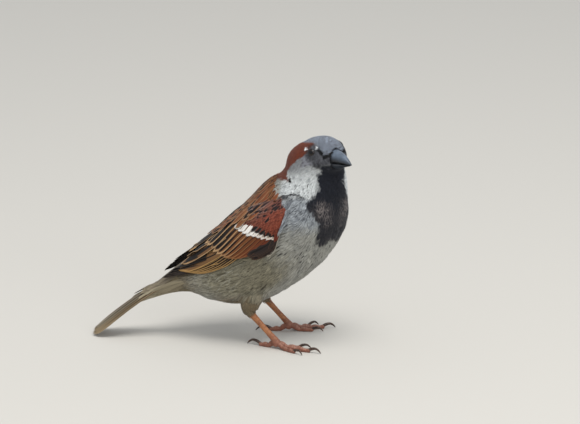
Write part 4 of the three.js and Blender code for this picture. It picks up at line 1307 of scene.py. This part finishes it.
for side, (s, foot, turn, hind) in LEGS.items():
    top, base, under = np.array(ANKLES[s]), np.array([*foot, PALM_HEIGHT]), np.array([*foot, 0])
    down = (base - top) / np.linalg.norm(base - top)
    shank = [top + (1.9, -0.3 * s, 4.0), top + (0.5, 0, 0.9),
             *(top + (base - top) * t for t in (0.08, 0.25, 0.6, 0.88, 1.0))]
    palm = [under + (ahead, 0, height) for ahead, height in PALM]
    parts = [limb("shank", shank, SHANK_TALL, SHANK_WIDE, FORWARD, 60),
             limb("palm", palm, [0.3, 1.5, 1.85, 1.5, 0.3], [0.3, 1.5, 1.9, 1.5, 0.3], UPWARD, 20)]
    claws, ways = [], {}
    for name, (angle, length, claw, pads, thick) in TOES.items():
        a = math.radians((turn + (hind if angle is None else angle)) * s)
        way = ways[name] = np.array([math.cos(a), math.sin(a), 0])
        run = np.linspace(0, 1, 8 * pads + 5)
        pad = thick * (0.98 - 0.12 * np.cos(math.pi * run * (2 * pads + 1))) * (1 - 0.2 * run)
        line = under + way * (0.6 + (length - 0.6) * run)[:, None]
        line[:, 2] = pad - 0.12 + 1.7 * np.maximum(0, 1 - 2.6 * run)
        parts.append(limb("toe", line, pad, pad * 0.95, UPWARD, 90, rounded=1.1))
        rise = claw * 0.22
        heights = (0.85, 1.05 + rise * 0.7, 0.95 + rise, 0.7 + rise * 0.45, 0.22)
        line = [under + way * (length - 1.2 + share * (claw + 1.2)) + (0, 0, z)
                for share, z in zip((0, 0.3, 0.62, 0.86, 1.0), heights)]
        claws.append(limb("claw", line, CLAW_SIZES * thick, CLAW_SIZES * thick * 0.8, UPWARD, 30))
    leg = joined(parts, "leg_" + side)
    remade(leg, voxel=0.15, rounds=4)
    bpy.ops.object.shade_smooth()
    shape, out = vertices_of(leg), normals_of(leg)
    own = shape - origin
    bare = step(2.6, 4.2, own[:, 2])  # the shank, over the foot
    front = step(-0.2, 0.4, out @ unit(FORWARD - down * down[0])) * bare
    rise, groove = plates((own - top) @ down, 1.9)
    push, dark = 0.10 * rise * front, groove * front
    for name, (_, length, *_) in TOES.items():
        along, aside = ways[name][:2], np.array([-ways[name][1], ways[name][0]])
        run, off = (own[:, :2] - np.array(foot)) @ along, (own[:, :2] - np.array(foot)) @ aside
        near = step(1.5, 1.1, np.abs(off)) * step(1.0, 2.2, run) * step(length + 1, length, run) * (1 - bare)
        near = near * step(-0.1, 0.35, out[:, 2])
        rise, groove = plates(run, 1.05)
        push = push + 0.08 * rise * near
        dark = np.maximum(dark, groove * near)
    grounded(leg, shape + out * push[:, None])
    paint_mesh(leg, "base", with_alpha(mix(
        "8b5a49", ("a16a44", step(2, 8, own[:, 2])),
        # painted highlight: the toes' upward-facing tops are painted paler
        ("ac836f", 0.45 * (1 - dark) * step(0.3, 0.9, out[:, 2]) * (1 - bare)),
        # random mottling, and painted shade: darker in the grooves between the plates
        ("7d4a35", 0.5 * step(0.2, 0.9, ripple(own, 2.2, 4))), ("5e3526", np.clip(dark, 0, 1) * 0.5))))
    leg.data.materials.append(leg_finish)
    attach(leg, "root")
    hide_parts("tarsus_" + side, *("toe_" + name + "_" + side for name in TOES))
    horn = joined(claws, "claws_" + side)
    grounded(horn, vertices_of(horn))
    horn.data.materials.append(claw_finish)
    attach(horn, "root")
    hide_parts(*("claw_" + name + "_" + side for name in TOES))

# ---------------------------------------------------------------- ankle feathers
# The lowest feathers of each thigh, which narrow down onto the top of the bare shank.
CUFF_SIZES = ([0, 0.33, 0.66, 1.0], [4.0, 3.5, 2.1, 1.45])  # along the cuff, its radius
cuffs = []
for s, foot, _, _ in LEGS.values():
    top, base, count = np.array(ANKLES[s]), np.array([*foot, PALM_HEIGHT]), 260
    down = unit(base - top)
    line = top + np.array([(2.1, -0.5 * s, 3.2), (1.5, -0.1 * s, 0.2), down * 2.4, down * 6.2])
    first = np.sort(0.5 * rng.random(count))[:, None]
    run = first + 0.36 * jitter(count, 0.15)[:, None] * SOFT_RUNS
    turned = (rng.random(count) * 2 * math.pi)[:, None, None]
    way = unit(smooth_line(unit(np.gradient(line, axis=0)), run))
    over = unit(FORWARD - way * (way @ FORWARD)[..., None])
    out = over * np.cos(turned) + np.cross(over, way) * np.sin(turned)
    cuffs.append((origin + smooth_line(line, run) + out * np.interp(run, *CUFF_SIZES)[..., None], out))
path, up = (np.concatenate(v) for v in zip(*cuffs))
count = len(path)
made = vanes(path, up, unit(np.gradient(path, axis=1)), 0.42 * jitter(count, 0.15), np.zeros(path.shape[:2]),
             SOFT_RUNS, 4, SOFT_SHAPE, rounding=0.55, camber=0.18, fray=0.5, seeds=rng.random(count))
feather_piece("coat_ankles", made, contour_colours(path[:, 2]), nearest_patches(path), soft_plumage)

# ---------------------------------------------------------------- stage
# A pale floor, soft light from above and the camera.
AIM = Vector((0.0248, 0.0134, 0.0535))  # where the camera looks
BACK = Vector((0.2008, -0.9448, 0.2588))  # the way from there to the camera
CAMERA_AWAY = 2.0

bpy.ops.object.select_all(action="DESELECT")
bpy.ops.mesh.primitive_plane_add(size=6, location=(0, 0, 0))
floor = bpy.context.object
floor.name = "floor"
floor_finish, t, surface = polished("floor", roughness=0.9)
surface.inputs["Base Color"].default_value = (*rgb("cfccc5"), 1)
floor.data.materials.append(floor_finish)

scene = bpy.context.scene
scene.world = bpy.data.worlds.new("soft light")
scene.world.use_nodes = True
sky = scene.world.node_tree.nodes["Background"]
sky.inputs[0].default_value = (0.93, 0.96, 1.0, 1)
sky.inputs[1].default_value = 0.62
for name, place, size, power, colour in (("overhead", (0.15, -0.35, 1.3), 0.7, 11.5, (1, 0.98, 0.95)),
                                         ("fill", (0.9, -1.0, 0.7), 0.8, 4.0, (1, 1, 1))):
    light = bpy.data.lights.new(name, "AREA")
    light.size, light.energy, light.color = size, power, colour
    lamp = shown(name, light)
    lamp.location = place
    lamp.rotation_euler = (Vector((0, 0, 0.05)) - Vector(place)).to_track_quat("-Z", "Y").to_euler()

bpy.ops.object.camera_add(location=AIM + CAMERA_AWAY * BACK)
camera = bpy.context.object
camera.rotation_euler = BACK.to_track_quat("Z", "Y").to_euler()
camera.data.lens = 285.5
camera.data.sensor_width = 36
camera.data.clip_end = 20
scene.camera = camera
scene.view_settings.view_transform = "Standard"
